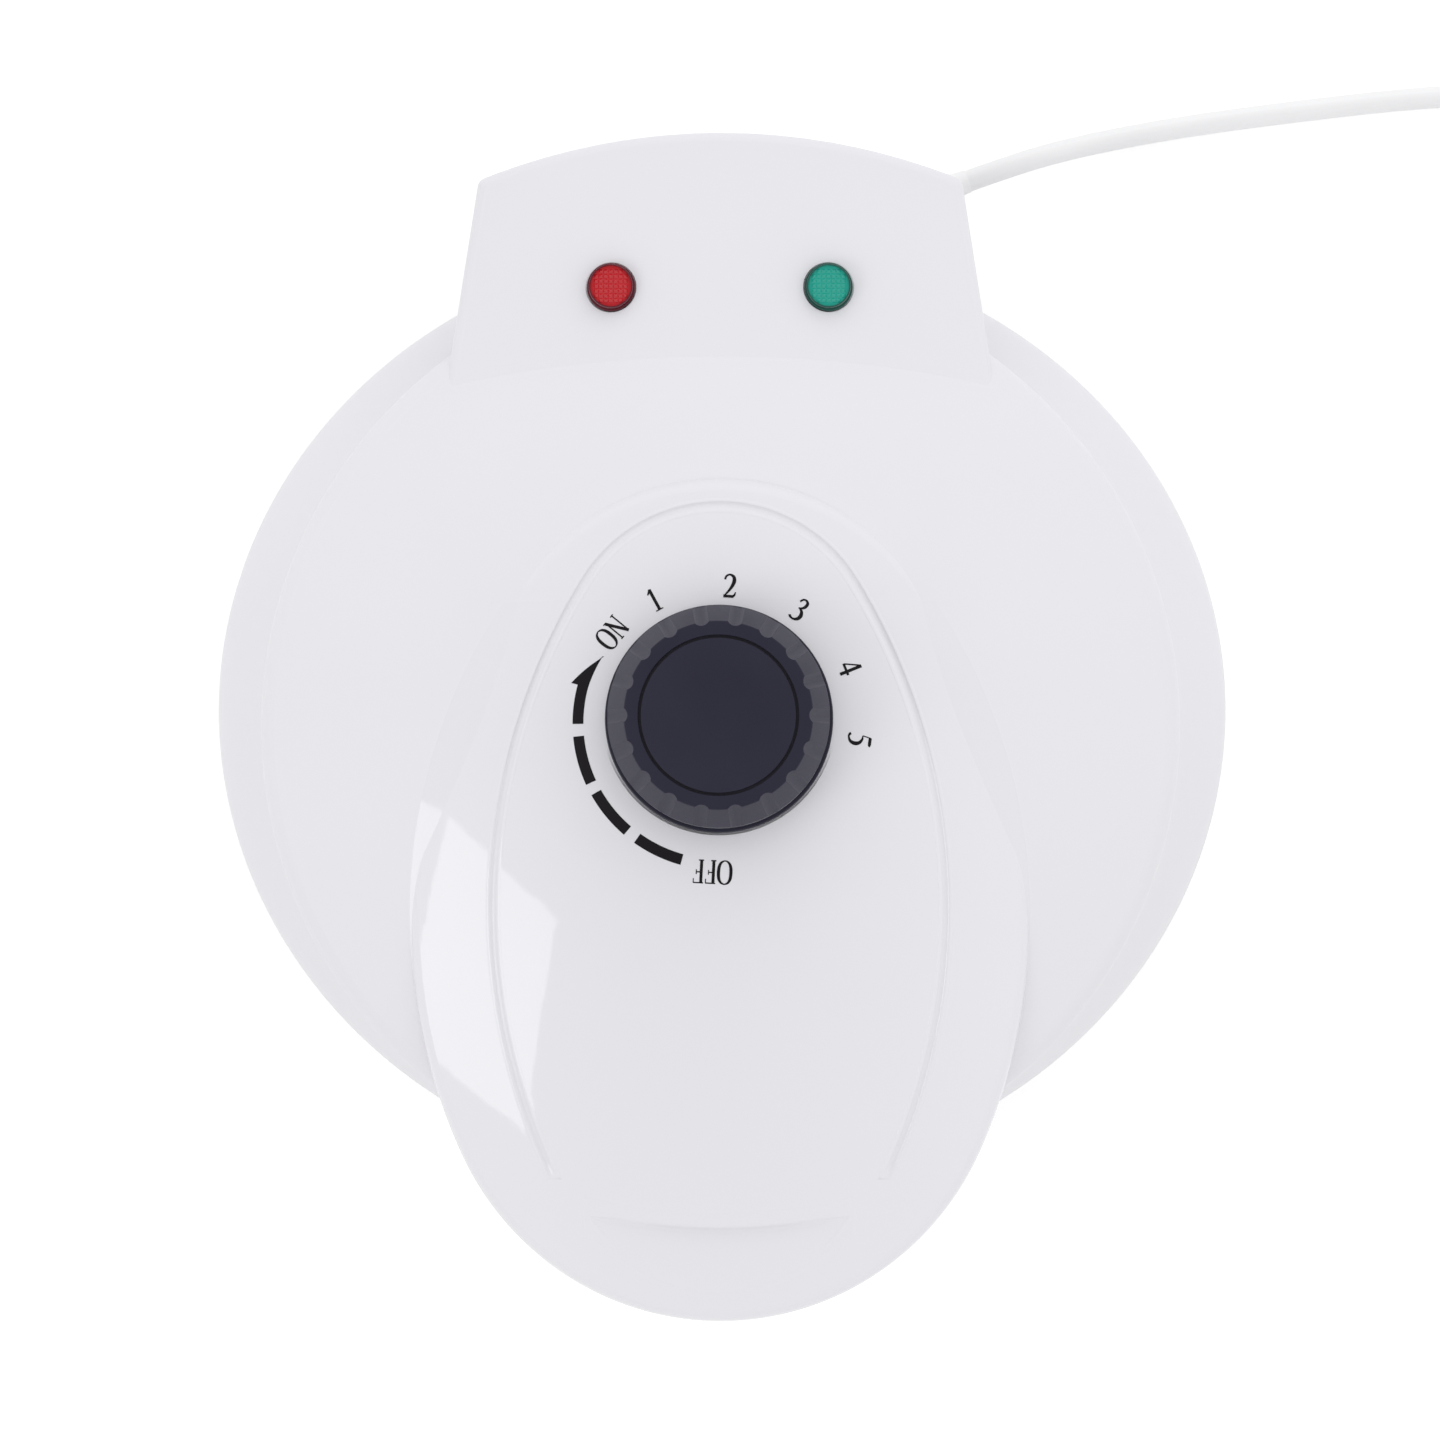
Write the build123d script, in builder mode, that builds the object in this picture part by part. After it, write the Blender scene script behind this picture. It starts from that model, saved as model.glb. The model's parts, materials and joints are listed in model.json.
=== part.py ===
from build123d import *
import os
from math import asin, atan2, ceil, cos, degrees, hypot, pi, radians, sin, sqrt, tan

os.makedirs("parts", exist_ok=True)

# Heart waffle maker. Millimetres, +Z up, the plates' axis at X = Y = 0, the feet on Z = 0,
# the handle towards -Y and the hinge towards +Y.

# Levels and fits
foot_height = 4.4
skirt_bottom = 4.0
base_rim_level = 46.0
plate_proud = 0.6
plate_gap = 0.4
rim_gap = 1.6
moulding_wall = 2.6
running_clearance = 0.05
seat_clearance = 0.3
overlap = 1.0

# Skirt of the base, from its lower edge up to the round rim
skirt_length_x = 246.0
skirt_length_y = 227.0
skirt_centre_y = 6.5
belly_level = 10.0
lower_edge_tuck = 3.5
waist_level = 24.0
waist_length_x = 238.0
waist_length_y = 222.0
waist_centre_y = 2.6
base_rim_radius = 107.3
rim_flange_thickness = 2.5
rim_flange_inner_radius = 100.6

# Deck inside the base, its bosses and the cover under it
deck_level = 20.0
deck_thickness = 2.5
deck_opening_radius = 50.0
boss_radius = 5.0
cover_thickness = 2.4
cover_screw_circle = 98.0
cover_screw_count = 5
cover_screw_radius = 1.7
cover_screw_head_radius = 3.4
cover_screw_head_height = 2.0
vent_length = 22.0
vent_width = 3.0
vent_pitch = 9.0
vent_columns = 7
vent_row_offset = 34.0
foot_radius = 9.0
foot_stem_radius = 3.4
foot_stem_length = 3.2
foot_rear_x = 60.0
foot_rear_y = 84.0
foot_front_x = 66.0
foot_front_y = -62.0

# Waffle plates
plate_radius = 99.0
plate_rim_thickness = 3.5
plate_body_radius = 94.0
plate_thickness = 11.0
heart_count = 5
heart_tip = 12.0
heart_lobe_distance = 66.0
heart_lobe_offset = 18.5
heart_lobe_radius = 21.0
heart_depth = 8.5
heart_draft = 8.0
flower_radius = 72.0
flower_depth = 3.5
flower_margin = 1.4
rib_pitch = 13.0
rib_width = 2.2
rib_height = 4.6
plate_screw_circle = 86.0
plate_screw_radius = 2.0
plate_screw_head_radius = 4.0
plate_screw_head_height = 2.4
plate_screw_recess = 3.0
lower_screw_length = 18.0
upper_screw_length = 13.5
spacer_thickness = 2.0
spacer_radius = 5.0

# Heating elements and reflectors
heater_ring_radius = 62.0
heater_tube_radius = 3.0
heater_bend_radius = 8.0
heater_gap_angle = 16.0
heater_end_length = 4.0
heater_boss_wall = 2.7
heater_pin_radius = 1.1
heater_pin_length = 6.0
reflector_gauge = 0.8
reflector_radius = 92.0
reflector_rim_height = 6.0

# Hinge
hinge_y = 117.0
hinge_level = 44.0
barrel_radius = 12.5
barrel_length = 76.0
barrel_end_wall = 5.0
neck_rear_y = 114.6
neck_front_y = 100.0
arm_radius = 9.0
arm_thickness = 6.0
arm_gap = 0.6
arm_web_length = 18.0
pin_radius = 3.0
bush_radius = 3.6
bush_bore_radius = 2.2
pin_head_radius = 4.8
pin_head_thickness = 2.0

# Cord outlet at the foot of the base's rear wall
outlet_half_width = 46.0
outlet_front_y = 100.0
outlet_rear_y = 137.0
outlet_side_angle = 20.0
outlet_top = 19.0
outlet_corner_radius = 4.0
outlet_exit_along = 28.7

# Lid dome
lid_radius = 108.0
dome_level = 82.0
dome_radius = 257.0
lid_edge_radius = 6.0

# Raised egg on the lid, which runs out into the handle
egg_half_width = 71.8
egg_side_radius = 132.3
egg_widest_y = -45.8
egg_rear_radius = 57.0
egg_front_radius = 66.0
egg_top_y = -15.0
egg_top_level = 85.4
egg_length_crown_radius = 345.0
egg_crown_radius = 172.0
egg_edge_radius = 4.0
handle_seam_level = 52.0

# Line pressed into the egg, and the thumb scoop at its front
line_half_width = 52.0
line_side_radius = 145.0
line_widest_y = -43.5
line_rear_radius = 36.0
line_width = 2.8
line_depth = 0.7
line_end_y = -105.5
scoop_rear_y = -115.0
scoop_front_y = -131.5
scoop_depth = 4.0
scoop_floor_radius = 360.0
scoop_crease_radius = 142.0
scoop_wall_angle = 40.0

# Handle cover
handle_cover_level = 49.0
handle_cover_edge_radius = 2.4
handle_cover_lid_gap = 0.6
handle_screw_x = 30.0
handle_screw_y = -120.0
handle_screw_radius = 1.5
handle_screw_head_radius = 2.9
handle_screw_head_height = 1.8
handle_screw_length = 8.0
handle_boss_radius = 3.6

# Hump at the rear of the lid
hump_rear_half_width = 57.0
hump_rear_corner_y = 128.5
hump_rear_y = 138.9
hump_front_half_width = 65.0
hump_front_y = 75.0
hump_front_level = 68.3
hump_rear_level = 63.0
hump_crown_radius = 300.0
hump_edge_radius = 2.5
hump_corner_radius = 2.4

# Indicator lights
lamp_x = 25.4
lamp_y = 101.8
lens_radius = 4.6
lens_flange_radius = 5.65
lens_flange_thickness = 1.6
lens_rise = 1.9
lens_seat_depth = 0.8
lens_edge_radius = 0.9
lens_face_thickness = 0.8
lens_tube_radius = 4.3
lens_tube_length = 6.4
lens_bore_radius = 3.1
neon_radius = 2.8
neon_length = 6.0
collar_radius = 6.2
collar_height = 3.4
collar_drop = 0.9

# Thermostat
thermostat_length = 34.0
thermostat_width = 26.0
thermostat_height = 10.0
bracket_length = 54.0
bracket_width = 18.0
bracket_gauge = 1.5
bracket_screw_x = 22.0
bracket_screw_radius = 1.5
bracket_screw_head_radius = 2.8
bracket_screw_head_height = 1.8
bracket_screw_depth = 3.0
bracket_boss_radius = 4.0
bracket_boss_height = 2.5
shaft_radius = 3.0
shaft_flat = 0.6
shaft_top = 97.5
shaft_depth = 4.0
shaft_flat_length = 12.0
shaft_hole_radius = 4.5
thermostat_neck_radius = 5.5
thermostat_neck_height = 3.0
thermostat_corner_radius = 2.0
fuse_radius = 2.2
fuse_length = 14.0
fuse_x = -38.0
fuse_clip_width = 6.0
fuse_clip_gauge = 0.8
fuse_clip_foot = 3.0

# Knob
knob_seat_level = 83.4
knob_seat_radius = 26.6
knob_gap = 0.3
knob_radius = 26.0
knob_flange_height = 2.4
knob_shoulder_radius = 25.2
knob_top_radius = 20.9
knob_top_level = 102.5
knob_bevel_height = 6.0
knob_flute_count = 18
knob_flute_radius = 2.7
knob_flute_centre = 24.6
knob_wall = 2.2
knob_hub_radius = 6.5
knob_hollow_radius = 19.0
cap_radius = 17.6
cap_thickness = 1.6
cap_groove = 0.35

# Wiring
terminal_length = 42.0
terminal_width = 14.0
terminal_height = 10.0
terminal_y = 84.0
sleeve_radius = 1.6
wire_radius = 1.4
lead_bend_run = 4.5
inner_cord_first_run = 14.0
clamp_x = 17.0
clamp_y = 101.0
clamp_length = 22.0
clamp_width = 8.0
clamp_height = 3.2
clamp_post_radius = 3.0
clamp_post_x = 7.5
clamp_screw_radius = 1.3
clamp_screw_head_radius = 2.5
clamp_screw_head_height = 1.8
clamp_screw_length = 8.0

# Mains cord, its coil and plug
cord_radius = 2.7
outlet_level = 11.5
relief_length = 26.0
relief_root_radius = 5.2
relief_tip_radius = 3.5
relief_neck_radius = 4.0
relief_flange_radius = 4.7
relief_flange_thickness = 1.6
coil_centre_x = 228.0
coil_top_y = 159.0
coil_outer_radius = 36.0
coil_pitch = 5.9
coil_level = 3.5
coil_layer_turns = 2.0
coil_climb_turns = 0.5
coil_end_turns = 4.25
plug_x = 257.0
plug_y = 80.0
plug_radius = 18.5
plug_disc_length = 18.0
plug_grip_length = 16.0
plug_sleeve_length = 12.0
plug_sleeve_radius = 4.4
plug_grip_radius = 9.0
plug_flat_half_width = 15.5
plug_pin_radius = 2.4
plug_pin_length = 19.0
plug_pin_spacing = 19.0
tie_width = 5.0
tie_thickness = 0.6
tie_clearance = 0.4

# Levels that follow from the sizes above
lower_face = base_rim_level + plate_proud
split_level = lower_face + plate_gap / 2
plate_underside = lower_face - plate_thickness
lid_rim_level = base_rim_level + rim_gap
heater_level = plate_underside - seat_clearance - heater_tube_radius
heater_boss_bottom = heater_level - heater_tube_radius + 0.2
plate_back = 2 * split_level - plate_underside
deck_top = deck_level + deck_thickness
lower_boss_top = plate_underside - spacer_thickness
upper_boss_level = plate_back + spacer_thickness
screw_start_angle = 90.0 + 180.0 / heart_count
lower_screw_grip = lower_screw_length - (plate_thickness - plate_screw_recess) - spacer_thickness
upper_screw_grip = upper_screw_length - (plate_thickness - plate_screw_recess) - spacer_thickness
gap_turn = radians(heater_gap_angle)
heater_terminal_x = heater_ring_radius * sin(gap_turn) - heater_bend_radius * (1 - sin(gap_turn))
heater_terminal_y = (heater_ring_radius + heater_bend_radius) * cos(gap_turn) + heater_end_length
heater_pin_tip_y = heater_terminal_y + heater_pin_length
lead_slot_y = heater_pin_tip_y + lead_bend_run
lead_slot_width = 2 * wire_radius + 2 * overlap
bracket_level = plate_back + bracket_boss_height
thermostat_level = bracket_level + bracket_gauge
cover_top = skirt_bottom + seat_clearance + cover_thickness
knob_bottom = knob_seat_level + knob_gap
coil_centre = Vector(coil_centre_x, coil_top_y - coil_outer_radius)
layer_step = coil_pitch
outlet_direction = Vector(cos(radians(outlet_side_angle)), sin(radians(outlet_side_angle)))


def finish(piece, name):
    """Label a piece and write its STEP file."""
    piece.part.label = name
    export_step(piece.part, f"parts/{name}.step")


# Shared forms


def skirt_form(inset):
    """The base's flared side, drawn in by a wall thickness."""
    sections = (
        (skirt_bottom, skirt_length_x / 2 - lower_edge_tuck, skirt_length_y / 2 - lower_edge_tuck,
         skirt_centre_y),
        (belly_level, skirt_length_x / 2, skirt_length_y / 2, skirt_centre_y),
        (waist_level, waist_length_x / 2, waist_length_y / 2, waist_centre_y),
        (base_rim_level, base_rim_radius, base_rim_radius, 0),
    )
    with BuildPart() as form:
        for level, half_x, half_y, centre_y in sections:
            with BuildSketch(Plane.XY.offset(level)):
                with Locations((0, centre_y)):
                    Ellipse(half_x - inset, half_y - inset)
        loft()
    return form.part


def dome_form(inset):
    """The lid's dome with its round edge, open downwards."""
    outer = lid_radius - inset
    arc_radius = dome_radius - inset
    arc_centre = dome_level - dome_radius
    corner = arc_centre + sqrt(arc_radius**2 - outer**2)
    bottom = lid_rim_level - (overlap if inset else 0)
    with BuildPart() as form:
        with BuildSketch(Plane.XZ) as profile:
            with BuildLine():
                half = asin(outer / arc_radius) / 2
                middle = (arc_radius * sin(half), arc_centre + arc_radius * cos(half))
                ThreePointArc((0, dome_level - inset), middle, (outer, corner))
                Polyline((outer, corner), (outer, bottom), (0, bottom), (0, dome_level - inset))
            make_face()
            rim_corner = profile.vertices().group_by(Axis.X)[-1].sort_by(Axis.Y)[-1]
            fillet(rim_corner, lid_edge_radius - min(inset, lid_edge_radius / 2))
        revolve(axis=Axis.Z)
    return form.part


def egg_outline(half_width, side_radius, widest_y, rear_radius, front_radius):
    """Half of an egg made of three tangent arcs, from its rear to its front on X = 0."""
    side_x = half_width - side_radius
    rear_y = widest_y + sqrt((side_radius - rear_radius) ** 2 - side_x**2)
    front_y = widest_y - sqrt((side_radius - front_radius) ** 2 - side_x**2)
    side_centre = Vector(side_x, widest_y)
    rear_join = Vector(0, rear_y) + (Vector(0, rear_y) - side_centre).normalized() * rear_radius
    front_join = Vector(0, front_y) + (Vector(0, front_y) - side_centre).normalized() * front_radius
    rear_end = Vector(0, rear_y + rear_radius)
    front_end = Vector(0, front_y - front_radius)
    TangentArc(rear_end, rear_join, tangent=(1, 0))
    ThreePointArc(rear_join, Vector(half_width, widest_y), front_join)
    TangentArc(front_end, front_join, tangent=(1, 0))


def egg_level(y):
    """Height of the egg's crest above a place on its centre line."""
    return (egg_top_level - egg_length_crown_radius
            + sqrt(egg_length_crown_radius**2 - (y - egg_top_y) ** 2))


def egg_top_form(drop):
    """Everything under the egg's crowned top, lowered by a drop."""
    axis_level = egg_top_level - egg_crown_radius
    rear_y = lid_radius
    front_y = -2 * egg_half_width
    with BuildPart() as form:
        with BuildSketch(Plane.YZ):
            with BuildLine():
                ThreePointArc((rear_y, egg_level(rear_y) - drop), (egg_top_y, egg_top_level - drop),
                              (front_y, egg_level(front_y) - drop))
                Polyline((front_y, egg_level(front_y) - drop), (front_y, axis_level),
                         (rear_y, axis_level), (rear_y, egg_level(rear_y) - drop))
            make_face()
        revolve(axis=Axis((0, 0, axis_level), (0, 1, 0)), revolution_arc=360)
    return form.part


def egg_form(inset, bottom):
    """The egg on the lid with its handle end, drawn in by a wall thickness."""
    with BuildPart() as form:
        with BuildSketch(Plane.XY.offset(bottom)):
            with BuildLine():
                egg_outline(egg_half_width - inset, egg_side_radius - inset, egg_widest_y,
                            egg_rear_radius - inset, egg_front_radius - inset)
                mirror(about=Plane.YZ)
            make_face()
        extrude(amount=egg_top_level + overlap - bottom)
        add(egg_top_form(inset), mode=Mode.INTERSECT)
        top_edges = form.faces().sort_by(Axis.Z)[-1].outer_wire().edges()
        fillet(top_edges, egg_edge_radius - min(inset, egg_edge_radius / 2))
    return form.part


def hump_level(x, y):
    """Height of the hump's top above a place."""
    axis_level = hump_front_level - hump_crown_radius
    slope = (hump_rear_level - hump_front_level) / (hump_rear_y - hump_front_y)
    crest = hump_front_level + slope * (y - hump_front_y) - axis_level
    return axis_level + sqrt(crest**2 - x**2)


def hump_form(inset, bottom):
    """The hump over the hinge, drawn in by a wall thickness."""
    axis_level = hump_front_level - hump_crown_radius
    rear_half = hump_rear_half_width - inset
    corner_y = hump_rear_corner_y - inset
    front_half = hump_front_half_width - inset
    with BuildPart() as form:
        with BuildSketch(Plane.XY.offset(bottom)) as plan:
            with BuildLine():
                ThreePointArc((-rear_half, corner_y), (0, hump_rear_y - inset), (rear_half, corner_y))
                Polyline((rear_half, corner_y), (front_half, hump_front_y),
                         (-front_half, hump_front_y), (-rear_half, corner_y))
            make_face()
            fillet(plan.vertices().group_by(Axis.Y)[-1], hump_corner_radius)
        extrude(amount=hump_front_level + overlap - bottom)
        with BuildSketch(Plane.YZ):
            slope = (hump_rear_level - hump_front_level) / (hump_rear_y - hump_front_y)
            far_y = hump_rear_y + overlap
            with BuildLine():
                Polyline((hump_front_y - overlap, hump_front_level - slope * overlap - inset),
                         (far_y, hump_rear_level + slope * overlap - inset),
                         (far_y, axis_level), (hump_front_y - overlap, axis_level), close=True)
            make_face()
        revolve(axis=Axis((0, 0, axis_level), (0, 1, 0)), mode=Mode.INTERSECT)
        if not inset:
            top_edges = form.faces().sort_by(Axis.Z)[-1].outer_wire().edges()
            fillet(top_edges, hump_edge_radius)
    return form.part


# Base housing: skirt, deck with bosses, hinge barrel and cord outlet

def outlet_sketch(inset, plane):
    """Plan of the cord outlet on a plane, drawn in by a wall thickness."""
    side_angle = radians(outlet_side_angle)
    rear_y = outlet_rear_y - inset
    front_half = outlet_half_width - inset / cos(side_angle)
    rear_half = front_half - (rear_y - outlet_front_y) * tan(side_angle)
    with BuildSketch(plane) as plan:
        with BuildLine():
            Polyline((front_half, outlet_front_y), (rear_half, rear_y), (-rear_half, rear_y),
                     (-front_half, outlet_front_y), close=True)
        make_face()
        fillet(plan.vertices().group_by(Axis.Y)[-1], outlet_corner_radius - inset / 2)
    return plan.sketch


outlet_wall_point = Vector(outlet_half_width, outlet_front_y) + Vector(
    -sin(radians(outlet_side_angle)), cos(radians(outlet_side_angle))) * outlet_exit_along
outlet_plane = Plane(
    origin=(outlet_wall_point.X, outlet_wall_point.Y, outlet_level),
    x_dir=(0, 0, 1), z_dir=(outlet_direction.X, outlet_direction.Y, 0))

with BuildPart() as deck:
    add(skirt_form(moulding_wall / 2))
    with BuildSketch(Plane.XY.offset(deck_level)):
        Circle(skirt_length_x)
        Circle(deck_opening_radius, mode=Mode.SUBTRACT)
        with Locations((0, lead_slot_y)):
            SlotCenterToCenter(2 * heater_terminal_x, lead_slot_width, mode=Mode.SUBTRACT)
    extrude(amount=deck_thickness, mode=Mode.INTERSECT)

with BuildPart() as base_housing:
    add(skirt_form(0))
    with BuildSketch(Plane.YZ.offset(-barrel_length / 2)):
        with Locations((hinge_y, hinge_level)):
            Circle(barrel_radius)
        with Locations((neck_front_y, deck_level)):
            Rectangle(neck_rear_y - neck_front_y, hinge_level - deck_level, align=(Align.MIN, Align.MIN))
    extrude(amount=barrel_length)
    add(outlet_sketch(0, Plane.XY.offset(skirt_bottom)))
    extrude(amount=outlet_top - skirt_bottom)
    add(skirt_form(moulding_wall), mode=Mode.SUBTRACT)
    with BuildSketch(Plane.YZ.offset(-barrel_length / 2 + barrel_end_wall)):
        with Locations((hinge_y, hinge_level)):
            Circle(barrel_radius - moulding_wall)
    extrude(amount=barrel_length - 2 * barrel_end_wall, mode=Mode.SUBTRACT)
    add(outlet_sketch(moulding_wall, Plane.XY.offset(skirt_bottom + moulding_wall)))
    extrude(amount=outlet_top - skirt_bottom - 2 * moulding_wall, mode=Mode.SUBTRACT)
    with BuildSketch(Plane.XY.offset(base_rim_level - rim_flange_thickness)):
        Circle(base_rim_radius - moulding_wall / 2)
        Circle(rim_flange_inner_radius, mode=Mode.SUBTRACT)
    extrude(amount=rim_flange_thickness)
    add(deck.part)
    with BuildSketch(Plane.XY.offset(deck_top)):
        with PolarLocations(plate_screw_circle, heart_count, start_angle=screw_start_angle):
            Circle(boss_radius)
    extrude(amount=lower_boss_top - deck_top)
    with BuildSketch(Plane.XY.offset(cover_top)):
        with PolarLocations(cover_screw_circle, cover_screw_count, start_angle=90):
            Circle(boss_radius)
    extrude(amount=deck_level - cover_top)
    with BuildSketch(Plane.XY.offset(deck_level - overlap)):
        with Locations((0, (neck_front_y + neck_rear_y) / 2)):
            Rectangle(barrel_length / 2, neck_rear_y - neck_front_y - 2 * moulding_wall)
    extrude(amount=hinge_level - deck_level, mode=Mode.SUBTRACT)
    with Locations(Plane.XY.offset(lower_boss_top)):
        with PolarLocations(plate_screw_circle, heart_count, start_angle=screw_start_angle):
            Hole(plate_screw_radius + running_clearance, depth=lower_screw_grip)
    with BuildSketch(Plane.XY.offset(cover_top)):
        with PolarLocations(cover_screw_circle, cover_screw_count, start_angle=90):
            Circle(cover_screw_radius + running_clearance)
    extrude(amount=deck_level - cover_top - overlap, mode=Mode.SUBTRACT)
    with BuildSketch(Plane.YZ.offset(-barrel_length / 2)):
        with Locations((hinge_y, hinge_level)):
            Circle(pin_radius + running_clearance)
    extrude(amount=barrel_end_wall, mode=Mode.SUBTRACT)
    with BuildSketch(Plane.YZ.offset(barrel_length / 2)):
        with Locations((hinge_y, hinge_level)):
            Circle(bush_radius + running_clearance)
    extrude(amount=-barrel_end_wall, mode=Mode.SUBTRACT)
    with BuildSketch(outlet_plane):
        Circle(relief_neck_radius + running_clearance)
    extrude(amount=-2 * moulding_wall, mode=Mode.SUBTRACT)
finish(base_housing, "base_housing")

# Base cover with its vents, and the four feet under it

foot_places = {
    "foot_rear_left": (-foot_rear_x, foot_rear_y),
    "foot_rear_right": (foot_rear_x, foot_rear_y),
    "foot_front_left": (-foot_front_x, foot_front_y),
    "foot_front_right": (foot_front_x, foot_front_y),
}

clamp_level = outlet_level + cord_radius
clamp_screw_places = ((clamp_x - clamp_post_x, clamp_y), (clamp_x + clamp_post_x, clamp_y))

with BuildPart() as base_cover:
    with BuildSketch(Plane.XY.offset(cover_top - cover_thickness)):
        with Locations((0, skirt_centre_y)):
            Ellipse(skirt_length_x / 2 - lower_edge_tuck - moulding_wall - seat_clearance,
                    skirt_length_y / 2 - lower_edge_tuck - moulding_wall - seat_clearance)
    extrude(amount=cover_thickness)
    with BuildSketch(Plane.XY.offset(cover_top)):
        with Locations((0, vent_row_offset), (0, -vent_row_offset)):
            with GridLocations(vent_pitch, vent_length, vent_columns, 1):
                SlotCenterToCenter(vent_length - vent_width, vent_width, rotation=90)
        with PolarLocations(cover_screw_circle, cover_screw_count, start_angle=90):
            Circle(cover_screw_radius + running_clearance)
        with Locations(*foot_places.values()):
            Circle(foot_stem_radius + running_clearance)
    extrude(amount=-cover_thickness, mode=Mode.SUBTRACT)
    with BuildSketch(Plane.XY.offset(cover_top)):
        with Locations(*clamp_screw_places):
            Circle(clamp_post_radius)
    extrude(amount=clamp_level - cover_top)
    with BuildSketch(Plane.XY.offset(cover_top)):
        with Locations((clamp_x, clamp_y)):
            Rectangle(2 * cord_radius, clamp_width)
    extrude(amount=outlet_level - cord_radius - cover_top)
    with Locations(Plane.XY.offset(clamp_level)):
        with Locations(*clamp_screw_places):
            Hole(clamp_screw_radius + running_clearance, depth=clamp_screw_length - clamp_height)
finish(base_cover, "base_cover")

for foot_name, foot_place in foot_places.items():
    with BuildPart() as foot:
        with BuildSketch():
            with Locations(foot_place):
                Circle(foot_radius)
        extrude(amount=cover_top - cover_thickness)
        fillet(foot.edges().sort_by(Axis.Z)[0], foot_height / 4)
        with BuildSketch(Plane.XY.offset(cover_top - cover_thickness)):
            with Locations(foot_place):
                Circle(foot_stem_radius)
        extrude(amount=foot_stem_length)
    finish(foot, foot_name)

with BuildPart() as base_cover_screws:
    with BuildSketch(Plane.XY.offset(cover_top - cover_thickness - cover_screw_head_height)):
        with PolarLocations(cover_screw_circle, cover_screw_count, start_angle=90):
            Circle(cover_screw_head_radius)
    extrude(amount=cover_screw_head_height)
    with BuildSketch(Plane.XY.offset(cover_top - cover_thickness)):
        with PolarLocations(cover_screw_circle, cover_screw_count, start_angle=90):
            Circle(cover_screw_radius)
    extrude(amount=deck_level - cover_top - 2 * overlap)
finish(base_cover_screws, "base_cover_screws")

# Waffle plates: five hearts with their tips together, ribs in a diamond grid

lobe_reach = hypot(heart_lobe_distance - heart_tip, heart_lobe_offset)
heart_half_angle = (atan2(heart_lobe_offset, heart_lobe_distance - heart_tip)
                    + asin(heart_lobe_radius / lobe_reach))
heart_side = sqrt(lobe_reach**2 - heart_lobe_radius**2)
heart_shoulder_x = heart_tip + heart_side * cos(heart_half_angle)
heart_shoulder_y = heart_side * sin(heart_half_angle)

with BuildSketch() as heart:
    with Locations((heart_lobe_distance, heart_lobe_offset), (heart_lobe_distance, -heart_lobe_offset)):
        Circle(heart_lobe_radius)
    Polygon((heart_tip, 0), (heart_shoulder_x, -heart_shoulder_y), (heart_lobe_distance, -heart_lobe_offset),
            (heart_lobe_distance, heart_lobe_offset), (heart_shoulder_x, heart_shoulder_y), align=None)

# The ribs run parallel to the heart's two straight sides
rib_angle = degrees(heart_half_angle)
rib_span = 2 * plate_radius
with BuildSketch() as heart_ribs:
    for turn in (rib_angle, -rib_angle):
        for step in range(1, 6):
            shift = Vector(0, step * rib_pitch * (1 if turn < 0 else -1)).rotate(Axis.Z, turn)
            with Locations(Location((heart_tip + shift.X, shift.Y, 0), turn)):
                Rectangle(rib_span, rib_width)
    add(heart.sketch, mode=Mode.INTERSECT)

with BuildPart() as lower_plate:
    with BuildSketch(Plane.XY.offset(lower_face)):
        Circle(plate_radius)
    extrude(amount=-plate_rim_thickness)
    with BuildSketch(Plane.XY.offset(lower_face)):
        Circle(plate_body_radius)
    extrude(amount=-plate_thickness, taper=2)
    with BuildSketch(Plane.XY.offset(plate_underside)):
        Circle(heater_ring_radius + heater_tube_radius + heater_boss_wall)
        Circle(heater_ring_radius - heater_tube_radius - heater_boss_wall, mode=Mode.SUBTRACT)
    extrude(amount=heater_boss_bottom - plate_underside)
    with BuildSketch(Plane.XZ):
        with Locations((heater_ring_radius, heater_level)):
            Circle(heater_tube_radius + running_clearance)
        with Locations((heater_ring_radius, heater_boss_bottom)):
            Rectangle(2 * (heater_tube_radius + running_clearance), 2 * (heater_level - heater_boss_bottom))
    revolve(axis=Axis.Z, mode=Mode.SUBTRACT)
    with BuildSketch(Plane.XY.offset(plate_underside)):
        with Locations((0, heater_ring_radius)):
            Rectangle(2 * heater_ring_radius * sin(radians(heater_gap_angle + 8)), plate_thickness * 2)
    extrude(amount=heater_boss_bottom - plate_underside, mode=Mode.SUBTRACT)
    with BuildSketch(Plane.XY.offset(lower_face)):
        Circle(flower_radius)
        with PolarLocations(0, heart_count, start_angle=90):
            add(heart.sketch)
        offset(amount=flower_margin)
    extrude(amount=-flower_depth, mode=Mode.SUBTRACT)
    with BuildSketch(Plane.XY.offset(lower_face - flower_depth)):
        with PolarLocations(0, heart_count, start_angle=90):
            add(heart.sketch)
    extrude(amount=-(heart_depth - flower_depth), taper=heart_draft, mode=Mode.SUBTRACT)
    with BuildSketch(Plane.XY.offset(lower_face - heart_depth)):
        with PolarLocations(0, heart_count, start_angle=90):
            add(heart_ribs.sketch)
    extrude(amount=rib_height)
    with Locations(Plane.XY.offset(lower_face)):
        with PolarLocations(plate_screw_circle, heart_count, start_angle=screw_start_angle):
            CounterBoreHole(plate_screw_radius + running_clearance,
                            plate_screw_head_radius + running_clearance, plate_screw_recess)
finish(lower_plate, "lower_plate")

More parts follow.
